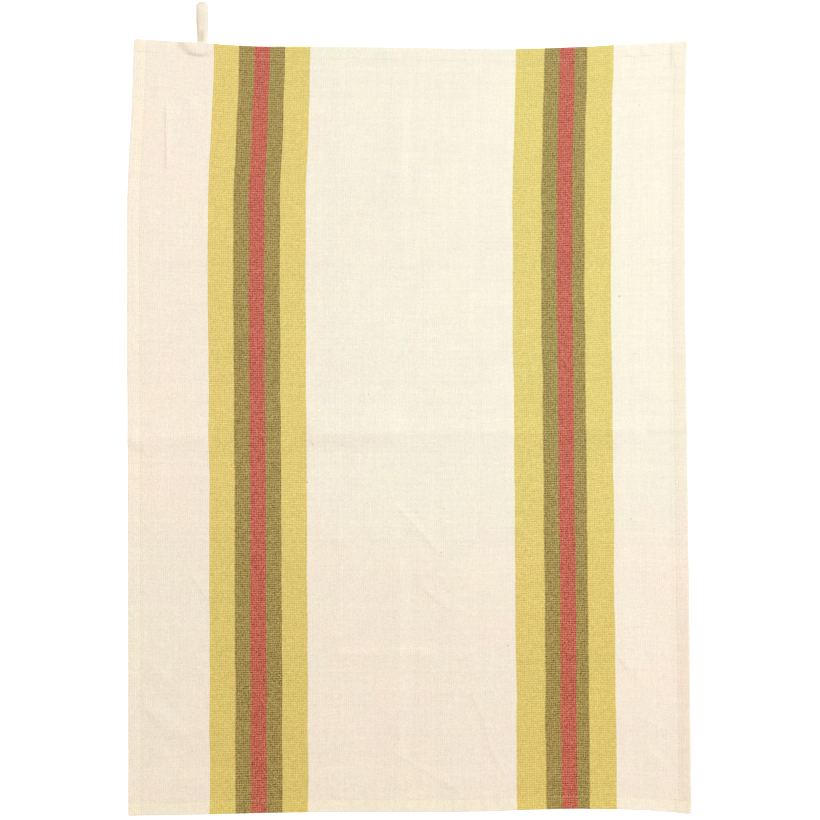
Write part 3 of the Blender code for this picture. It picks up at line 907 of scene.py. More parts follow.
@dataclass(frozen=True)
class TapeWeave:
    """A narrow cotton tape, closely woven, with a firm edge on each side.

    Painted light and shade: its right part is lighter, over a random mottle, a spot and a strip up its left
    side are darker where the tape turns from the light, and its fold is darker where the tape turns over.
    """

    width: float
    pitch: float = 0.55
    relief: float = 0.12
    slub: Grain = Grain(1.0)
    slub_rate: float = 0.35
    slubs_apart: float = 1.7
    slub_tone: float = 0.20
    base_tone: float = 0.88
    edge_tone: float = 0.05
    edge_span: tuple[float, float] = (1.0, 0.3)
    rib_height: float = 0.35
    pick_height: float = 0.45
    edge_height: float = 0.25
    lint_across: float = 2.0
    lint_along: float = 1.5
    lint_share: float = 0.55
    cloud: Grain = Grain(60.0, 3.0)
    cloud_span: tuple[float, float] = (0.35, 0.75)
    # Painted light: the right part of the tape lighter, over the random mottle of the cloud.
    painted_light_across: tuple[float, float] = (5.0, 8.5)
    painted_light_share: float = 0.7
    spot_core: float = 0.8
    strip_across: tuple[float, float] = (0.8, 3.4)
    strip_along: tuple[float, float] = (50.0, 76.0)
    strip_strength: float = 0.9
    # Painted shade: how far the fold's darker tint spreads.
    painted_fold_shade_span: tuple[float, float] = (3.2, 5.4)
    roughness: tuple[float, float] = (0.95, 0.85)
    # Painted shade and light: dark in the low parts of the weave, light on its ribs and picks.
    light: Colour = (0.998, 0.902, 0.772)
    dark: Colour = (0.790, 0.672, 0.530)
    # Painted light: the tint of the tape's lighter right part.
    mottle_and_painted_light: Colour = (1.0, 1.035, 1.05)
    # Painted shade: the tint of the spot and the strip where the tape turns from the light.
    painted_shade: Colour = (0.79, 0.745, 0.64)
    painted_shade_place: tuple[float, float] = (4.2, 82.6)
    painted_shade_reach: float = 4.4
    drawn_in: float = 0.5
    # Painted shade: the tint of the fold, where the tape turns over.
    painted_fold_shade: Colour = (0.82, 0.85, 0.86)
    fold_place: float = 50.0

    def material(self) -> bpy.types.Material:
        """The tape's material, which reads its own map in metres, across it and along it."""
        graph = Graph("cotton_tape_weave")
        place = graph.node("ShaderNodeUVMap", {"uv_map": WEAVE_MAP})
        across, along = graph.plane(place)
        across = across / MM
        along = along / MM
        x = across / self.pitch
        y = along / self.pitch + (x * 0.5).floor() % 2.0 * 0.5
        ribs = (x * math.pi).sine().size()
        picks = (y * math.pi).sine().size()
        slubs = graph.noise(graph.vector(x * self.slub_rate, y.floor() * self.slubs_apart), self.slub)
        half = self.width / 2
        edge = (across - half).size().ramp(half - self.edge_span[0], half - self.edge_span[1])
        height = ribs * self.rib_height + picks * self.pick_height + edge * self.edge_height
        lint_row = (along / self.pitch * self.lint_along).floor()
        lint = graph.random_cell((x * self.lint_across).floor(), lint_row)
        # Painted shade and light: the weave's low parts darker and its ribs and picks lighter, mixed with
        # random lint.
        shown = height.ramp(0.1, 0.8) * (1.0 - self.lint_share) + lint * self.lint_share
        colour = graph.mix(shown, self.dark, self.light)
        colour = graph.scaled(colour, slubs * self.slub_tone + self.base_tone - edge * self.edge_tone)
        # Painted light: the right part lighter, mixed with a random mottle.
        cloud = graph.noise(place, self.cloud).ramp(*self.cloud_span) * (1.0 - self.painted_light_share)
        mottle_and_painted_light = cloud + across.ramp(*self.painted_light_across) * self.painted_light_share
        colour = graph.mix(mottle_and_painted_light, colour, graph.tinted(colour, self.mottle_and_painted_light))
        # Painted shade: a spot low on the left and a strip up the left side, where the tape turns from the
        # light.
        here = graph.vector(across, along * self.drawn_in)
        away = graph.maths_on_vectors("DISTANCE", here, self.painted_shade_centre()).output("Value")
        spot = away.ramp(self.spot_core, self.painted_shade_reach, 1.0, 0.0)
        strip = across.ramp(*self.strip_across, self.strip_strength, 0.0) * along.ramp(*self.strip_along)
        painted_shade_mask = graph.maths("MAXIMUM", spot, strip)
        colour = graph.mix(painted_shade_mask, colour, graph.tinted(colour, self.painted_shade))
        # Painted shade: the fold darker where the tape turns over.
        fold = (along - self.fold_place).size().ramp(*self.painted_fold_shade_span, 1.0, 0.0)
        colour = graph.mix(fold, colour, graph.tinted(colour, self.painted_fold_shade))
        roughness = height.ramp(0.0, 1.0, *self.roughness)
        graph.surface(colour, roughness, height, self.relief, sheen=0.15)
        return graph.material

    def painted_shade_centre(self) -> Colour:
        """The middle of the painted shade spot, drawn in along the tape so that its oval becomes round."""
        across, along = self.painted_shade_place
        return across, along * self.drawn_in, 0.0


@dataclass(frozen=True)
class SewingThread:
    """A two-ply cotton sewing thread in off-white."""

    relief: float = 0.05
    # Painted shade and light: dark in the grooves between the plies, light on their crowns.
    light: Colour = (0.800, 0.710, 0.560)
    dark: Colour = (0.500, 0.420, 0.290)
    plies_along: float = 1.6
    plies_around: float = 2.4
    fuzz: Grain = Grain(9000.0)
    fuzz_tone: float = 0.12
    base_tone: float = 0.92

    def material(self) -> bpy.types.Material:
        """The thread's material, which reads its own map, along a stitch and round it, in metres."""
        graph = Graph("sewing_thread")
        place = graph.node("ShaderNodeUVMap", {"uv_map": WEAVE_MAP})
        along, around = graph.plane(place)
        turns = along * (self.plies_along / MM) + around * (self.plies_around / MM)
        ply = (turns * math.pi).sine().size()
        # Painted shade and light: the grooves between the plies darker and their crowns lighter.
        colour = graph.mix(ply.ramp(0.1, 0.8), self.dark, self.light)
        colour = graph.scaled(colour, graph.noise(place, self.fuzz) * self.fuzz_tone + self.base_tone)
        graph.surface(colour, ply.ramp(0.0, 1.0, 0.9, 0.75), ply, self.relief, sheen=0.1)
        return graph.material


# ---- Pieces ----


def finished_mesh(name: str, points: Array, faces: list, maps: dict[str, Array]) -> bpy.types.Object:
    """Makes a smooth object from points in millimetres.

    Args:
        name: The object's name.
        points: One row of x, y and z for each vertex.
        faces: The vertices of each face, in order.
        maps: The UV maps, each with one row for each corner of each face.

    Returns:
        The object, which sits at the origin.
    """
    mesh = bpy.data.meshes.new(name)
    mesh.from_pydata((points * MM).tolist(), [], faces)
    for map_name, places in maps.items():
        layer = mesh.uv_layers.new(name=map_name)
        layer.uv.foreach_set("vector", places.astype(np.float32).ravel())
    mesh.shade_smooth()
    piece = bpy.data.objects.new(name, mesh)
    bpy.context.scene.collection.objects.link(piece)
    return piece


def at_corners(places: Array, faces: list) -> Array:
    """Turns a map with one row for each vertex into one with a row for each corner of each face."""
    return places[np.concatenate([np.asarray(face) for face in faces])]


def only(piece: bpy.types.Object) -> None:
    """Selects one object alone and makes it active."""
    bpy.ops.object.select_all(action="DESELECT")
    piece.select_set(True)
    bpy.context.view_layer.objects.active = piece


def dress(piece: bpy.types.Object, material: bpy.types.Material) -> None:
    """Gives a piece its material and its body."""
    piece.data.materials.clear()
    piece.data.materials.append(material)
    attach(piece, BODY)
    count = sum(len(face.vertices) - 2 for face in piece.data.polygons)
    log.info("%s: %d triangles in %s", piece.name, count, material.name)


@dataclass
class HangingLoop:
    """The tape folded in two, its fold standing open as a small eye and its tails sewn under the top hem."""

    width: float = 11.0
    thickness: float = 0.7
    x: float = -185.8
    top_y: float = 366.0
    tail_end_y: float = 318.0
    join_y: float = 337.0
    eye_height: float = 5.8
    solid_thickness: float = 0.8
    leg_offset: float = 0.25
    layer_gap: float = 0.3
    leg_steps: int = 26
    eye_steps: int = 18
    cross_steps: int = 10
    narrowed: float = 0.84
    cup: float = 0.55
    bow: float = 3.0
    bow_power: float = 2.6
    widens_from: float = 330.0
    widens_over: float = 22.0
    free_from: float = 340.0
    free_over: float = 14.0
    wobble: SoftNoise = SoftNoise(41, 9.0)
    cup_wobble: float = 0.06
    side_wobble: float = 0.12
    wobble_across: float = 1.3
    wobble_row: float = 7.3
    edge_radius: float = 0.24

    def centre_line(self) -> Array:
        """The tape's centre line from the lower tail, round the eye, to the upper tail.

        Returns:
            A row for each point, of its place across, y, z, and how far it is into the turn, from 0 to 1.
        """
        radius = (self.eye_height + self.solid_thickness) / 2
        turn_y = self.top_y - self.solid_thickness / 2 - radius
        low_z = self.solid_thickness / 2
        high_z = 1.5 * self.solid_thickness + self.layer_gap
        rows = []
        for step in range(self.leg_steps):
            share = step / self.leg_steps
            y = between(self.tail_end_y, turn_y, share)
            rows.append((-self.leg_offset, y, low_z, 0.0))
        for step in range(self.eye_steps + 1):
            share = step / self.eye_steps
            angle = math.pi * (share - 0.5)
            y = turn_y + radius * math.cos(angle)
            z = low_z + radius * (1.0 + math.sin(angle))
            rows.append((between(-self.leg_offset, self.leg_offset, share), y, z, math.cos(angle)))
        for step in range(1, self.leg_steps + 1):
            share = step / self.leg_steps
            y = between(turn_y, self.tail_end_y, share)
            drop = eased((turn_y - y) / (turn_y - self.join_y))
            rows.append((self.leg_offset, y, between(low_z + 2 * radius, high_z, drop), 0.0))
        return np.array(rows, dtype=float)

    def length(self) -> float:
        """The tape's length along its centre line."""
        return float(np.linalg.norm(np.diff(self.centre_line()[:, :3], axis=0), axis=1).sum())

    def build(self) -> bpy.types.Object:
        """Builds the tape as a strip along its centre line, with its thickness and softened edges."""
        line = self.centre_line()
        centre = line[:, :3]
        run = np.gradient(centre, axis=0)
        normal = np.stack([np.zeros(len(line)), -run[:, 2], run[:, 1]], axis=1)
        normal /= -np.linalg.norm(normal, axis=1, keepdims=True)
        walked = np.concatenate([[0.0], np.cumsum(np.linalg.norm(np.diff(centre, axis=0), axis=1))])
        share = np.linspace(-1.0, 1.0, self.cross_steps + 1)[None, :]
        along = walked[:, None]
        y = line[:, 1:2]
        turn = line[:, 3:4]
        half = self.width / 2 * between(self.narrowed, 1.0, eased((y - self.widens_from) / self.widens_over))
        free = eased((y - self.free_from) / self.free_over)
        ripple = self.cup_wobble * self.wobble.at(along, share * self.wobble_across)
        cup = -self.cup * free * share**2 + ripple
        points = np.empty((len(line), share.shape[1], 3))
        sway = self.side_wobble * self.wobble.at(along, self.wobble_row)
        points[..., 0] = self.x + line[:, 0:1] + share * half + sway
        points[..., 1] = y - self.bow * eased(turn) * np.abs(share) ** self.bow_power + cup * normal[:, 1:2]
        points[..., 2] = np.maximum(line[:, 2:3] + cup * normal[:, 2:3], self.thickness / 2)
        places = np.empty((len(line), share.shape[1], 2))
        places[..., 0] = (share + 1.0) / 2
        places[..., 1] = along / walked[-1]
        places = places.reshape(-1, 2)
        index = np.arange(len(places)).reshape(len(line), -1)
        faces = [index[:-1, :-1], index[:-1, 1:], index[1:, 1:], index[1:, :-1]]
        faces = np.stack(faces, axis=-1).reshape(-1, 4).tolist()
        corners = at_corners(places, faces)
        maps = {WEAVE_MAP: corners * (self.width * MM, walked[-1] * MM), BAKE_MAP: corners * 0.98 + 0.01}
        piece = finished_mesh("loop_tape", points.reshape(-1, 3), faces, maps)
        self.thicken(piece)
        return piece

    def thicken(self, piece: bpy.types.Object) -> None:
        """Gives the strip its thickness and rounds its long edges."""
        only(piece)
        solid = piece.modifiers.new("thickness", "SOLIDIFY")
        solid.thickness = self.thickness * MM
        solid.offset = 0.0
        solid.use_even_offset = True
        soft = piece.modifiers.new("soft_edge", "BEVEL")
        soft.width = self.edge_radius * MM
        soft.segments = 3
        soft.limit_method = "ANGLE"
        soft.angle_limit = math.radians(50.0)
        for modifier in ("thickness", "soft_edge"):
            bpy.ops.object.modifier_apply(modifier=modifier)
        piece.data.shade_smooth()

    def dress(self, piece: bpy.types.Object) -> None:
        dress(piece, TapeWeave(self.width).material())
        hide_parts(LOOP_NODE)
        self.width * MM
        self.length() * MM


class Hem(NamedTuple):
    """How one hem lies: how far its outer fold stands up, and how far the cloth drops just inside it.

    pinch is the height of the small pinches that its seam draws into the cloth, and seed is their noise's.
    """

    puff: float
    drop: float
    pinch: float
    seed: int


@dataclass
class ClothSheet:
    """The towel's cloth with its double-turned hems, as one thin closed sheet."""

    outline: Outline
    relief: Relief
    loop: HangingLoop
    left_hem: Hem = Hem(0.66, 0.0, 0.09, 53)
    right_hem: Hem = Hem(0.78, 0.34, 0.17, 51)
    bottom_hem: Hem = Hem(0.50, 0.06, 0.12, 55)
    top_hem: Hem = Hem(0.22, 0.14, 0.10, 57)
    layer: float = 0.40
    seam: float = 11.5
    hem_depth: float = 12.6
    hem_allowance: float = 24.0
    near_reach: float = 5.5
    far_reach: float = 36.0
    groove: float = 0.03
    groove_width: float = 1.0
    under_groove: float = 0.30
    under_groove_width: float = 0.8
    puff_power: float = 1.5
    broad_pinch: float = 7.5
    fine_pinch: float = 3.6
    fine_share: float = 0.4
    pinch_reach: float = 9.0
    right_pinch_top: float = 0.45
    rim_radius: float = 0.35
    rim_steps: int = 8
    rim_sharpness: float = 3.0
    rim_least: float = 0.45
    rim_swing: float = 0.55
    cell: float = 2.6
    tail_centre_x: float = -188.2
    tail_centre_y: float = 336.2
    tail_reach: float = 16.0
    tail_fade: float = 5.6
    hem_lines: tuple[float, ...] = (
        *(0.35, 1.2, 2.4, 3.8, 5.6, 7.6, 9.4, 10.5, 11.1, 11.5, 11.9, 12.15),
        *(12.42, 12.57, 12.62, 13.4, 14.4, 15.6, 17.0),
    )
    top_only_lines: tuple[float, ...] = (1.2, 3.8, 7.6, 10.5, 13.4, 15.6)
    pleat_columns: tuple[float, ...] = (31.4, 32.6, 33.8, 35.0, 36.2)

    def lines(self, total: float, extra: tuple[float, ...] = ()) -> tuple[Array, Array]:
        """The lines of the sheet's mesh in one direction.

        Args:
            total: The cloth's size in that direction.
            extra: Lines besides those of the hems and the even ones of the field.

        Returns:
            The places of the lines, and which of them the underside has too.
        """
        last = self.hem_lines[-1]
        cells = math.ceil((total - 2 * last) / self.cell / 2) * 2
        even = np.linspace(last, total - last, cells + 1)
        places = {round(float(place), 3): index % 2 == 0 for index, place in enumerate(even)}
        for line in self.hem_lines:
            places[line] = line not in self.top_only_lines
            places[round(total - line, 3)] = line not in self.top_only_lines
        places.update((line, False) for line in extra)
        ordered = sorted(places)
        return np.array(ordered), np.array([places[place] for place in ordered])

    def hems(self, across: Array, up: Array) -> list[tuple[Array, Array, Array]]:
        """The side hem and the end hem that each point is nearest to.

        Args:
            across: Distances on the cloth from its left edge.
            up: Distances on the cloth from its bottom edge.

        Returns:
            For the side hem and for the end hem, the distance from the outline, the puff and the drop.
        """
        margin_x, margin_y = self.outline.margins(across, up)
        side = (across > self.outline.width / 2)[..., None]
        end = (up > self.outline.length / 2)[..., None]
        side_hem = np.where(side, self.right_hem, self.left_hem)
        end_hem = np.where(end, self.top_hem, self.bottom_hem)
        return [(margin_x, side_hem[..., 0], side_hem[..., 1]), (margin_y, end_hem[..., 0], end_hem[..., 1])]

    def layers_below(self, margin: Array, drop: Array) -> Array:
        """The height of the hem's turned layers, as the cloth sinks off its inner fold to the surface."""
        inside = margin - self.hem_depth + self.layer
        turned = 2 * self.layer
        near = eased(inside / self.near_reach)
        far = eased(inside / self.far_reach)
        return turned - drop * near - (turned - drop) * far

    def tail_rise(self, x: Array, y: Array) -> Array:
        """How far the tape's two tails push the cloth up, which shows as a round step in the cloth."""
        loop = self.loop
        away = np.hypot(x - self.tail_centre_x, np.maximum(self.tail_centre_y - y, 0.0))
        stack = 2 * (loop.solid_thickness + loop.layer_gap)
        return stack * (1.0 - eased((away - self.tail_reach) / self.tail_fade))

    def pucker(self, along: Array, margin: Array, hem: Hem) -> Array:
        """The small pinches that a hem's seam draws into the cloth, along the seam."""
        broad = SoftNoise(hem.seed, self.broad_pinch).along(along)
        fine = SoftNoise(hem.seed + 1, self.fine_pinch).along(along)
        reach = np.where(margin < self.seam, self.seam, self.pinch_reach)
        return hem.pinch * hump((margin - self.seam) / reach, 1.0) * (broad + self.fine_share * fine)

    def rise(self, across: Array, up: Array, x: Array, y: Array) -> Array:
        """The height that the cloth lies at, apart from the layers of its hems."""
        right = self.outline.width - across
        top = self.outline.length - up
        total = self.relief.rise(x, y)
        fall = between(1.0, self.right_pinch_top, eased(up / self.outline.length))
        total += self.pucker(up, right, self.right_hem) * fall
        total += self.pucker(up, across, self.left_hem)
        total += self.pucker(across, up, self.bottom_hem)
        total += self.pucker(across, top, self.top_hem)
        return np.maximum(np.maximum(total, 0.0), self.tail_rise(x, y))

    def underside(self, across: Array, up: Array, rise: Array) -> Array:
        """The height of the sheet's underside, which steps up at the round inner fold of each hem."""
        (margin_x, _, side_drop), (margin_y, _, end_drop) = self.hems(across, up)
        in_end = margin_y < self.hem_depth
        in_side = margin_x < self.hem_depth
        past_x, past_y = (
            np.clip((margin - self.hem_depth) / self.layer + 1.0, 0.0, 1.0) for margin in (margin_x, margin_y)
        )
        side_fold = self.layer * (1.0 - np.sqrt(1.0 - past_x**2))
        end_fold = self.layer * (1.0 - np.sqrt(1.0 - past_y**2))
        end_layers = self.layers_below(margin_y, end_drop)
        side_layers = self.layers_below(margin_x, side_drop)
        height = np.where(in_end, end_fold, end_layers + np.where(in_side, side_fold, side_layers))
        end_groove = np.exp(-(((margin_y - self.seam) / self.under_groove_width) ** 2))
        side_groove = np.exp(-(((margin_x - self.seam) / self.under_groove_width) ** 2))
        side_groove = np.where(in_end, 0.0, side_groove)
        return rise + height + self.under_groove * np.maximum(end_groove, side_groove)

    def topside(self, across: Array, up: Array, rise: Array) -> Array:
        """The height of the sheet's top: the hems' outer folds stand up, and the seams draw it down."""
        height = rise + self.layer
        for margin, puff, drop in self.hems(across, up):
            to_seam = np.clip(margin / self.seam, 0.0, 1.0)
            height = height + self.layers_below(margin, drop)
            height = height + puff * (1.0 - to_seam**self.puff_power)
            height = height - self.groove * np.exp(-(((margin - self.seam) / self.groove_width) ** 2))
        return height

    def rim_margin(self, step: int, across: Array, up: Array) -> Array:
        """How far in from the outline the rim is at one of its steps, from its top, 0, to its underside.

        A hem's outer fold is round. Where an end hem meets the side of the towel, its layers show.
        """
        turn = step / self.rim_steps
        down = (1.0 - math.cos(math.pi * turn)) / 2
        folded = math.sin(math.pi * turn)
        layers = self.rim_least + self.rim_swing * abs(math.sin(3 * math.pi * down))
        layered = min(1.0, self.rim_sharpness * folded) * layers
        margin_x, margin_y = self.outline.margins(across, up)
        at_hem_end = (margin_y < self.hem_depth) & (margin_x < self.rim_radius + 0.01)
        return self.rim_radius * (1.0 - np.where(at_hem_end, layered, folded))

    def build(self) -> bpy.types.Object:
        """Builds the sheet: a fine grid on top, a coarser one underneath, and a round rim between them."""
        columns, under_columns = self.lines(self.outline.width, self.pleat_columns)
        rows, under_rows = self.lines(self.outline.length)
        across, up = np.meshgrid(columns, rows)
        x, y = self.outline.plan(across, up)
        rise = self.rise(across, up, x, y)
        low = self.underside(across, up, rise)
        high = self.topside(across, up, rise)
        border = self.border(*across.shape)
        rim_across, rim_up = across[border], up[border]
        points = [np.stack([x, y, high], axis=-1).reshape(-1, 3)]
        places = [np.stack([across, up], axis=-1).reshape(-1, 2)]
        for step in range(1, self.rim_steps + 1):
            margin = self.rim_margin(step, rim_across, rim_up)
            step_across = self.drawn_in(rim_across, columns, margin, self.outline.width)
            step_up = self.drawn_in(rim_up, rows, margin, self.outline.length)
            down = (1.0 - math.cos(math.pi * step / self.rim_steps)) / 2
            rim_z = between(high[border], low[border], down)
            points.append(np.stack([*self.outline.plan(step_across, step_up), rim_z], axis=-1))
            places.append(np.stack([step_across, step_up], axis=-1))

        grid = np.arange(across.size).reshape(across.shape)
        faces = np.stack([grid[:-1, :-1], grid[:-1, 1:], grid[1:, 1:], grid[1:, :-1]], axis=-1)
        faces = faces.reshape(-1, 4).tolist()
        ring = grid[border]
        for step in range(self.rim_steps):
            lower = across.size + step * len(ring) + np.arange(len(ring))
            rim = np.stack([ring, lower, np.roll(lower, -1), np.roll(ring, -1)], axis=-1)
            faces += rim.tolist()
            ring = lower

        under = np.full(across.shape, -1)
        under[border] = ring
        inner = np.outer(under_rows, under_columns) & (under < 0)
        under[inner] = ring[-1] + 1 + np.arange(inner.sum())
        points.append(np.stack([x[inner], y[inner], low[inner]], axis=-1))
        places.append(np.stack([across[inner], up[inner]], axis=-1))
        faces += self.under_faces(under, np.flatnonzero(under_rows), np.flatnonzero(under_columns))

        corners = at_corners(np.concatenate(places), faces)
        size = (self.outline.width, self.outline.length)
        maps = {WEAVE_MAP: corners * MM, BAKE_MAP: corners / size * 0.996 + 0.002}
        return finished_mesh("towel_sheet", np.concatenate(points), faces, maps)

    def border(self, height: int, width: int) -> tuple[Array, Array]:
        """The rows and columns of a grid's border, once round anticlockwise from its first corner."""
        last_row, last_column = height - 1, width - 1
        row = [np.zeros(last_column), np.arange(last_row)]
        row += [np.full(last_column, last_row), np.arange(last_row, 0, -1)]
        column = [np.arange(last_column), np.full(last_row, last_column)]
        column += [np.arange(last_column, 0, -1), np.zeros(last_row)]
        return np.concatenate(row).astype(int), np.concatenate(column).astype(int)

    def drawn_in(self, place: Array, lines: Array, margin: Array, total: float) -> Array:
        """The places of the rim in one direction, with those on the first or the last line at a margin."""
        return np.where(place == lines[0], margin, np.where(place == lines[-1], total - margin, place))

    def under_faces(self, under: Array, rows: Array, columns: Array) -> list[list[int]]:
        """The faces of the underside.

        Args:
            under: The vertex at each point of the top's grid, or -1 where the underside has none.
            rows: The rows that the underside has.
            columns: The columns that the underside has.

        Returns:
            The vertices of each face, clockwise as seen from above. A border face takes in all of the rim's.
        """
        faces = []
        for low, high in zip(rows[:-1], rows[1:]):
            for left, right in zip(columns[:-1], columns[1:]):
                walk = [
                    *under[low:high, left],
                    *under[high, left:right],
                    *under[low + 1 : high + 1, right][::-1],
                    *under[low, left + 1 : right + 1][::-1],
                ]
                faces.append([int(vertex) for vertex in walk if vertex >= 0])
        return faces

    def surface_point(self, across: Array, up: Array, on_top: bool) -> Array:
        """The points of the cloth's top or underside at places on the cloth, one row each."""
        x, y = self.outline.plan(across, up)
        rise = self.rise(across, up, x, y)
        z = self.topside(across, up, rise) if on_top else self.underside(across, up, rise)
        return np.stack([x, y, z], axis=-1)

    def dress(self, piece: bpy.types.Object, stitches: bpy.types.Object) -> None:
        hard = [crease for crease in self.relief.creases.values() if crease.edge]
        dress(piece, StripedWeave(self.outline, hard, hem_depth=self.hem_depth).material())
        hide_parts(CLOTH_NODE)
        cut = [(size + 2 * self.hem_allowance) * MM for size in (self.outline.width, self.outline.length)]


class Side(Enum):
    """The two sides of the cloth that a lock stitch shows on: the needle thread's and the bobbin thread's."""

    TOP = 1
    UNDER = -1


@dataclass
class HemStitching:
    """The lock stitches along the four hems, on both sides of the cloth."""

    cloth: ClothSheet
    length: float = 2.7
    pitch: float = 3.0
    radius: float = 0.16
    sides: int = 6
    ring_places: tuple[float, ...] = (-0.6, 0.0, 0.6)
    ring_twist: float = 24.0
    tip: float = 0.16
    dive: float = 0.34
    proud: float = 0.06
    end_taper: float = 0.25
    hub_dive: float = 0.1
    seed: int = 83
    slant: tuple[float, float] = (2.5, 1.6)
    stretch: tuple[float, float] = (0.94, 1.03)

    def master(self) -> bpy.types.Object:
        """Models one stitch along +X, in millimetres: a twisted thread whose ends dive into the cloth."""
        bpy.ops.object.select_all(action="DESELECT")
        bpy.ops.mesh.primitive_cylinder_add(
            vertices=self.sides,
            radius=self.radius,
            depth=self.length - 2 * self.tip,
            end_fill_type="TRIFAN",
            rotation=(0.0, math.pi / 2, 0.0),
        )
        stitch = bpy.context.active_object
        bpy.ops.object.transform_apply(location=False, rotation=True, scale=False)
        bpy.ops.object.mode_set(mode="EDIT")
        for place in self.ring_places:
            bpy.ops.mesh.select_all(action="SELECT")
            bpy.ops.mesh.bisect(plane_co=(place, 0.0, 0.0), plane_no=(1.0, 0.0, 0.0))
        end = self.length / 2 - self.tip
        for place in (-end, *self.ring_places, end):
            self.pick(stitch, place, hub=False)
            bpy.ops.transform.rotate(
                value=math.radians(self.ring_twist * place),
                orient_axis="X",
                center_override=(place, 0.0, 0.0),
            )
            out = abs(place) / end
            thin = 1.0 - self.end_taper * out**3
            bpy.ops.transform.resize(value=(1.0, thin, thin), center_override=(place, 0.0, 0.0))
            bpy.ops.transform.translate(value=(0.0, 0.0, -self.dive * out**3))
        for place in (-end, end):
            self.pick(stitch, place, hub=True)
            tip = math.copysign(self.tip, place)
            bpy.ops.transform.translate(value=(tip, 0.0, -self.dive - self.hub_dive))
        bpy.ops.object.mode_set(mode="OBJECT")
        return stitch

    def pick(self, stitch: bpy.types.Object, place: float, hub: bool) -> None:
        """Selects the stitch's vertices at a place along it, either the hub of its end or all but a hub."""
        bpy.ops.mesh.select_all(action="DESELECT")
        bpy.ops.object.mode_set(mode="OBJECT")
        for vertex in stitch.data.vertices:
            at_hub = math.hypot(vertex.co.y, vertex.co.z) < self.radius * 0.3
            vertex.select = abs(vertex.co.x - place) < 0.01 and at_hub == hub
        bpy.ops.object.mode_set(mode="EDIT")

    def thread_map(self, stitch: bpy.types.Object) -> Array:
        """The stitch's own map: the place along it and round it, for each corner of each face."""
        places = []
        for face in stitch.data.polygons:
            middle = math.atan2(face.normal.z, face.normal.y)
            for vertex in face.vertices:
                point = stitch.data.vertices[vertex].co
                drop = self.dive * min(abs(point.x) / (self.length / 2), 1.0) ** 3
                angle = math.atan2(point.z + drop, point.y) - middle
                turn = middle + (angle + math.pi) % (2 * math.pi) - math.pi
                places.append((point.x, turn * self.radius))
        return np.array(places)

    def run(self, fixed: float, total: float, clear: float, upright: bool) -> tuple[Array, Array]:
        """The stitches along one seam.

        Args:
            fixed: The seam's place on the cloth, across it for an upright seam and up it for a level one.
            total: The cloth's size along the seam.
            clear: How far from the cloth's edges the stitches stop.
            upright: Whether the seam runs up the cloth.

        Returns:
            The places on the cloth of the two ends of each stitch, one row of across and up for each stitch.
        """
        middles = np.arange(clear + self.pitch / 2, total - clear - self.pitch / 2, self.pitch)
        still = np.full(len(middles), fixed)
        ends = (middles - self.length / 2, middles + self.length / 2)
        start, end = (np.stack([still, place] if upright else [place, still], axis=-1) for place in ends)
        return start, end

    def seams(self) -> list[tuple[Side, Array, Array]]:
        """The seams on both sides of the cloth, each with the two ends of its stitches."""
        width, length = self.cloth.outline.width, self.cloth.outline.length
        seam = self.cloth.seam
        runs = []
        for side in Side:
            clear = 1.0 if side is Side.TOP else self.cloth.hem_depth + 1.0
            runs += [(side, *self.run(across, length, clear, True)) for across in (seam, width - seam)]
            runs += [(side, *self.run(up, width, 1.0, False)) for up in (seam, length - seam)]
        return runs

    def build(self) -> bpy.types.Object:
        """Copies the modelled stitch to every place along the seams, as one object."""
        stitch = self.master()
        shape = np.array([vertex.co for vertex in stitch.data.vertices])
        own_faces = [list(face.vertices) for face in stitch.data.polygons]
        own_map = self.thread_map(stitch)
        bpy.data.objects.remove(stitch)
        chance = np.random.default_rng(self.seed)
        points = []
        for side, start, end in self.seams():
            on_top = side is Side.TOP
            first = self.cloth.surface_point(start[:, 0], start[:, 1], on_top)
            last = self.cloth.surface_point(end[:, 0], end[:, 1], on_top)
            middle = (first + last) / 2
            along = last - first
            along /= np.linalg.norm(along, axis=1, keepdims=True)
            beside = np.stack([-along[:, 1], along[:, 0], np.zeros(len(along))], axis=-1)
            beside /= np.linalg.norm(beside, axis=1, keepdims=True)
            yaw = np.radians(chance.normal(*self.slant, len(along)))[:, None]
            turned = beside * np.cos(yaw) - along * np.sin(yaw)
            along = along * np.cos(yaw) + beside * np.sin(yaw)
            beside = turned
            out = np.cross(along, beside) * side.value
            beside = beside * side.value
            stretch = chance.uniform(*self.stretch, len(along))[:, None, None]
            middle = middle + out * self.proud
            placed = middle[:, None] + stretch * shape[None, :, 0:1] * along[:, None]
            placed = placed + shape[None, :, 1:2] * beside[:, None] + shape[None, :, 2:3] * out[:, None]
            points.append(placed.reshape(-1, 3))
        points = np.concatenate(points)
        count = len(points) // len(shape)
        firsts = range(0, len(points), len(shape))
        faces = [[vertex + first for vertex in face] for first in firsts for face in own_faces]
        tile = (own_map - own_map.min(axis=0)) / np.ptp(own_map, axis=0)
        maps = {WEAVE_MAP: own_map * MM, BAKE_MAP: tile * 0.9 + 0.05}
        maps = {name: np.tile(places, (count, 1)) for name, places in maps.items()}
        log.info("%d stitches of %d faces", count, len(own_faces))
        return finished_mesh("hem_stitches", points, faces, maps)

    def dress(self, piece: bpy.types.Object) -> None:
        """Gives the stitches their finish."""
        dress(piece, SewingThread().material())


# ---- Studio ----


class Lamp(NamedTuple):
    """A soft square lamp over the table, aimed at a point of it, in metres and watts."""

    name: str
    place: tuple[float, float, float]
    aim: tuple[float, float, float]
    width: float
    power: float
    colour: Colour


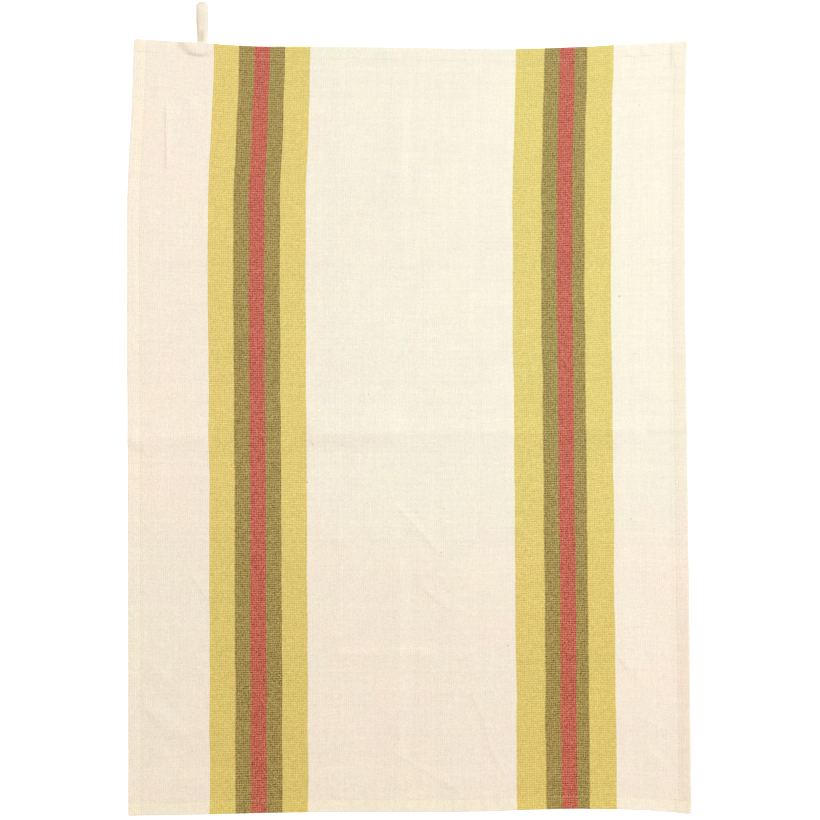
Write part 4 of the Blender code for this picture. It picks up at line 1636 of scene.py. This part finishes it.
@dataclass
class Studio:
    """A white table, soft lamps and a camera straight over the towel."""

    image_width: float = 0.738
    focal_length: float = 85.0
    sensor: float = 36.0
    centre: tuple[float, float] = (0.0007, -0.0011)
    table_size: float = 24.0
    table_drop: float = 0.0002
    table_colour: Colour = (0.90, 0.90, 0.90)
    table_glow: float = 0.60
    table_fibre: Grain = Grain(900.0, 3.0)
    table_shade: float = 0.98
    table_relief: float = 0.02
    surround: float = 0.42
    lamps: tuple[Lamp, ...] = (
        Lamp("key_lamp", (2.0, 2.1, 2.4), (0.0, 0.0, 0.0), 1.0, 76.0, (0.963, 0.963, 1.0)),
        Lamp("overhead_lamp", (0.3, 0.3, 1.8), (0.3, 0.3, 0.0), 0.3, 13.65, (0.675, 0.968, 1.0)),
        Lamp("warm_lamp", (-1.2, -0.9, 1.3), (-1.2, -0.9, 0.0), 0.5, 8.76, (1.0, 0.14, 0.02)),
    )

    def build(self) -> None:
        """Builds the table, the lamps, the surround and the camera."""
        self.table()
        for lamp in self.lamps:
            self.light(lamp)
        world = bpy.data.worlds.new("studio_surround")
        world.use_nodes = True
        background = world.node_tree.nodes["Background"]
        background.inputs["Color"].default_value = (1.0, 1.0, 1.0, 1.0)
        background.inputs["Strength"].default_value = self.surround
        bpy.context.scene.world = world
        bpy.context.scene.view_settings.view_transform = "Standard"
        self.camera()

    def table(self) -> None:
        """Adds the white table top."""
        bpy.ops.object.select_all(action="DESELECT")
        bpy.ops.mesh.primitive_plane_add(size=self.table_size, location=(0.0, 0.0, -self.table_drop))
        table = bpy.context.active_object
        table.name = "table_top"
        graph = Graph("white_paper")
        place = graph.node("ShaderNodeTexCoord", output="Object")
        fibre = graph.noise(place, self.table_fibre)
        shaded = tuple(self.table_shade * share for share in self.table_colour)
        colour = graph.mix(fibre, self.table_colour, shaded)
        roughness = fibre.ramp(0.0, 1.0, 0.9, 0.95)
        graph.surface(colour, roughness, fibre, self.table_relief, glow=self.table_glow)
        table.data.materials.append(graph.material)

    def light(self, lamp: Lamp) -> None:
        """Adds a lamp, turned to its aim."""
        bpy.ops.object.select_all(action="DESELECT")
        away = Vector(lamp.place) - Vector(lamp.aim)
        turn = away.to_track_quat("Z", "Y").to_euler()
        bpy.ops.object.light_add(type="AREA", location=lamp.place, rotation=turn)
        made = bpy.context.active_object
        made.name = lamp.name
        made.data.shape = "SQUARE"
        made.data.size = lamp.width
        made.data.energy = lamp.power
        made.data.color = lamp.colour

    def camera(self) -> None:
        """Adds the camera, which looks straight down with the top of its image towards +Y."""
        bpy.ops.object.select_all(action="DESELECT")
        distance = self.focal_length / self.sensor * self.image_width
        bpy.ops.object.camera_add(location=(*self.centre, distance), rotation=(0.0, 0.0, 0.0))
        camera = bpy.context.active_object
        camera.name = "camera"
        camera.data.lens = self.focal_length
        camera.data.sensor_width = self.sensor
        camera.data.dof.use_dof = False
        bpy.context.scene.camera = camera


def main() -> None:
    """Builds and dresses the towel, its stitches, its loop and the studio."""
    logging.basicConfig(level=logging.INFO, format="%(name)s: %(message)s")
    outline = Outline()
    loop = HangingLoop()
    cloth = ClothSheet(outline, Relief(), loop)
    stitching = HemStitching(cloth)
    sheet = cloth.build()
    stitches = stitching.build()
    stitching.dress(stitches)
    cloth.dress(sheet, stitches)
    tape = loop.build()
    loop.dress(tape)
    Studio().build()


if __name__ == "__main__":
    main()
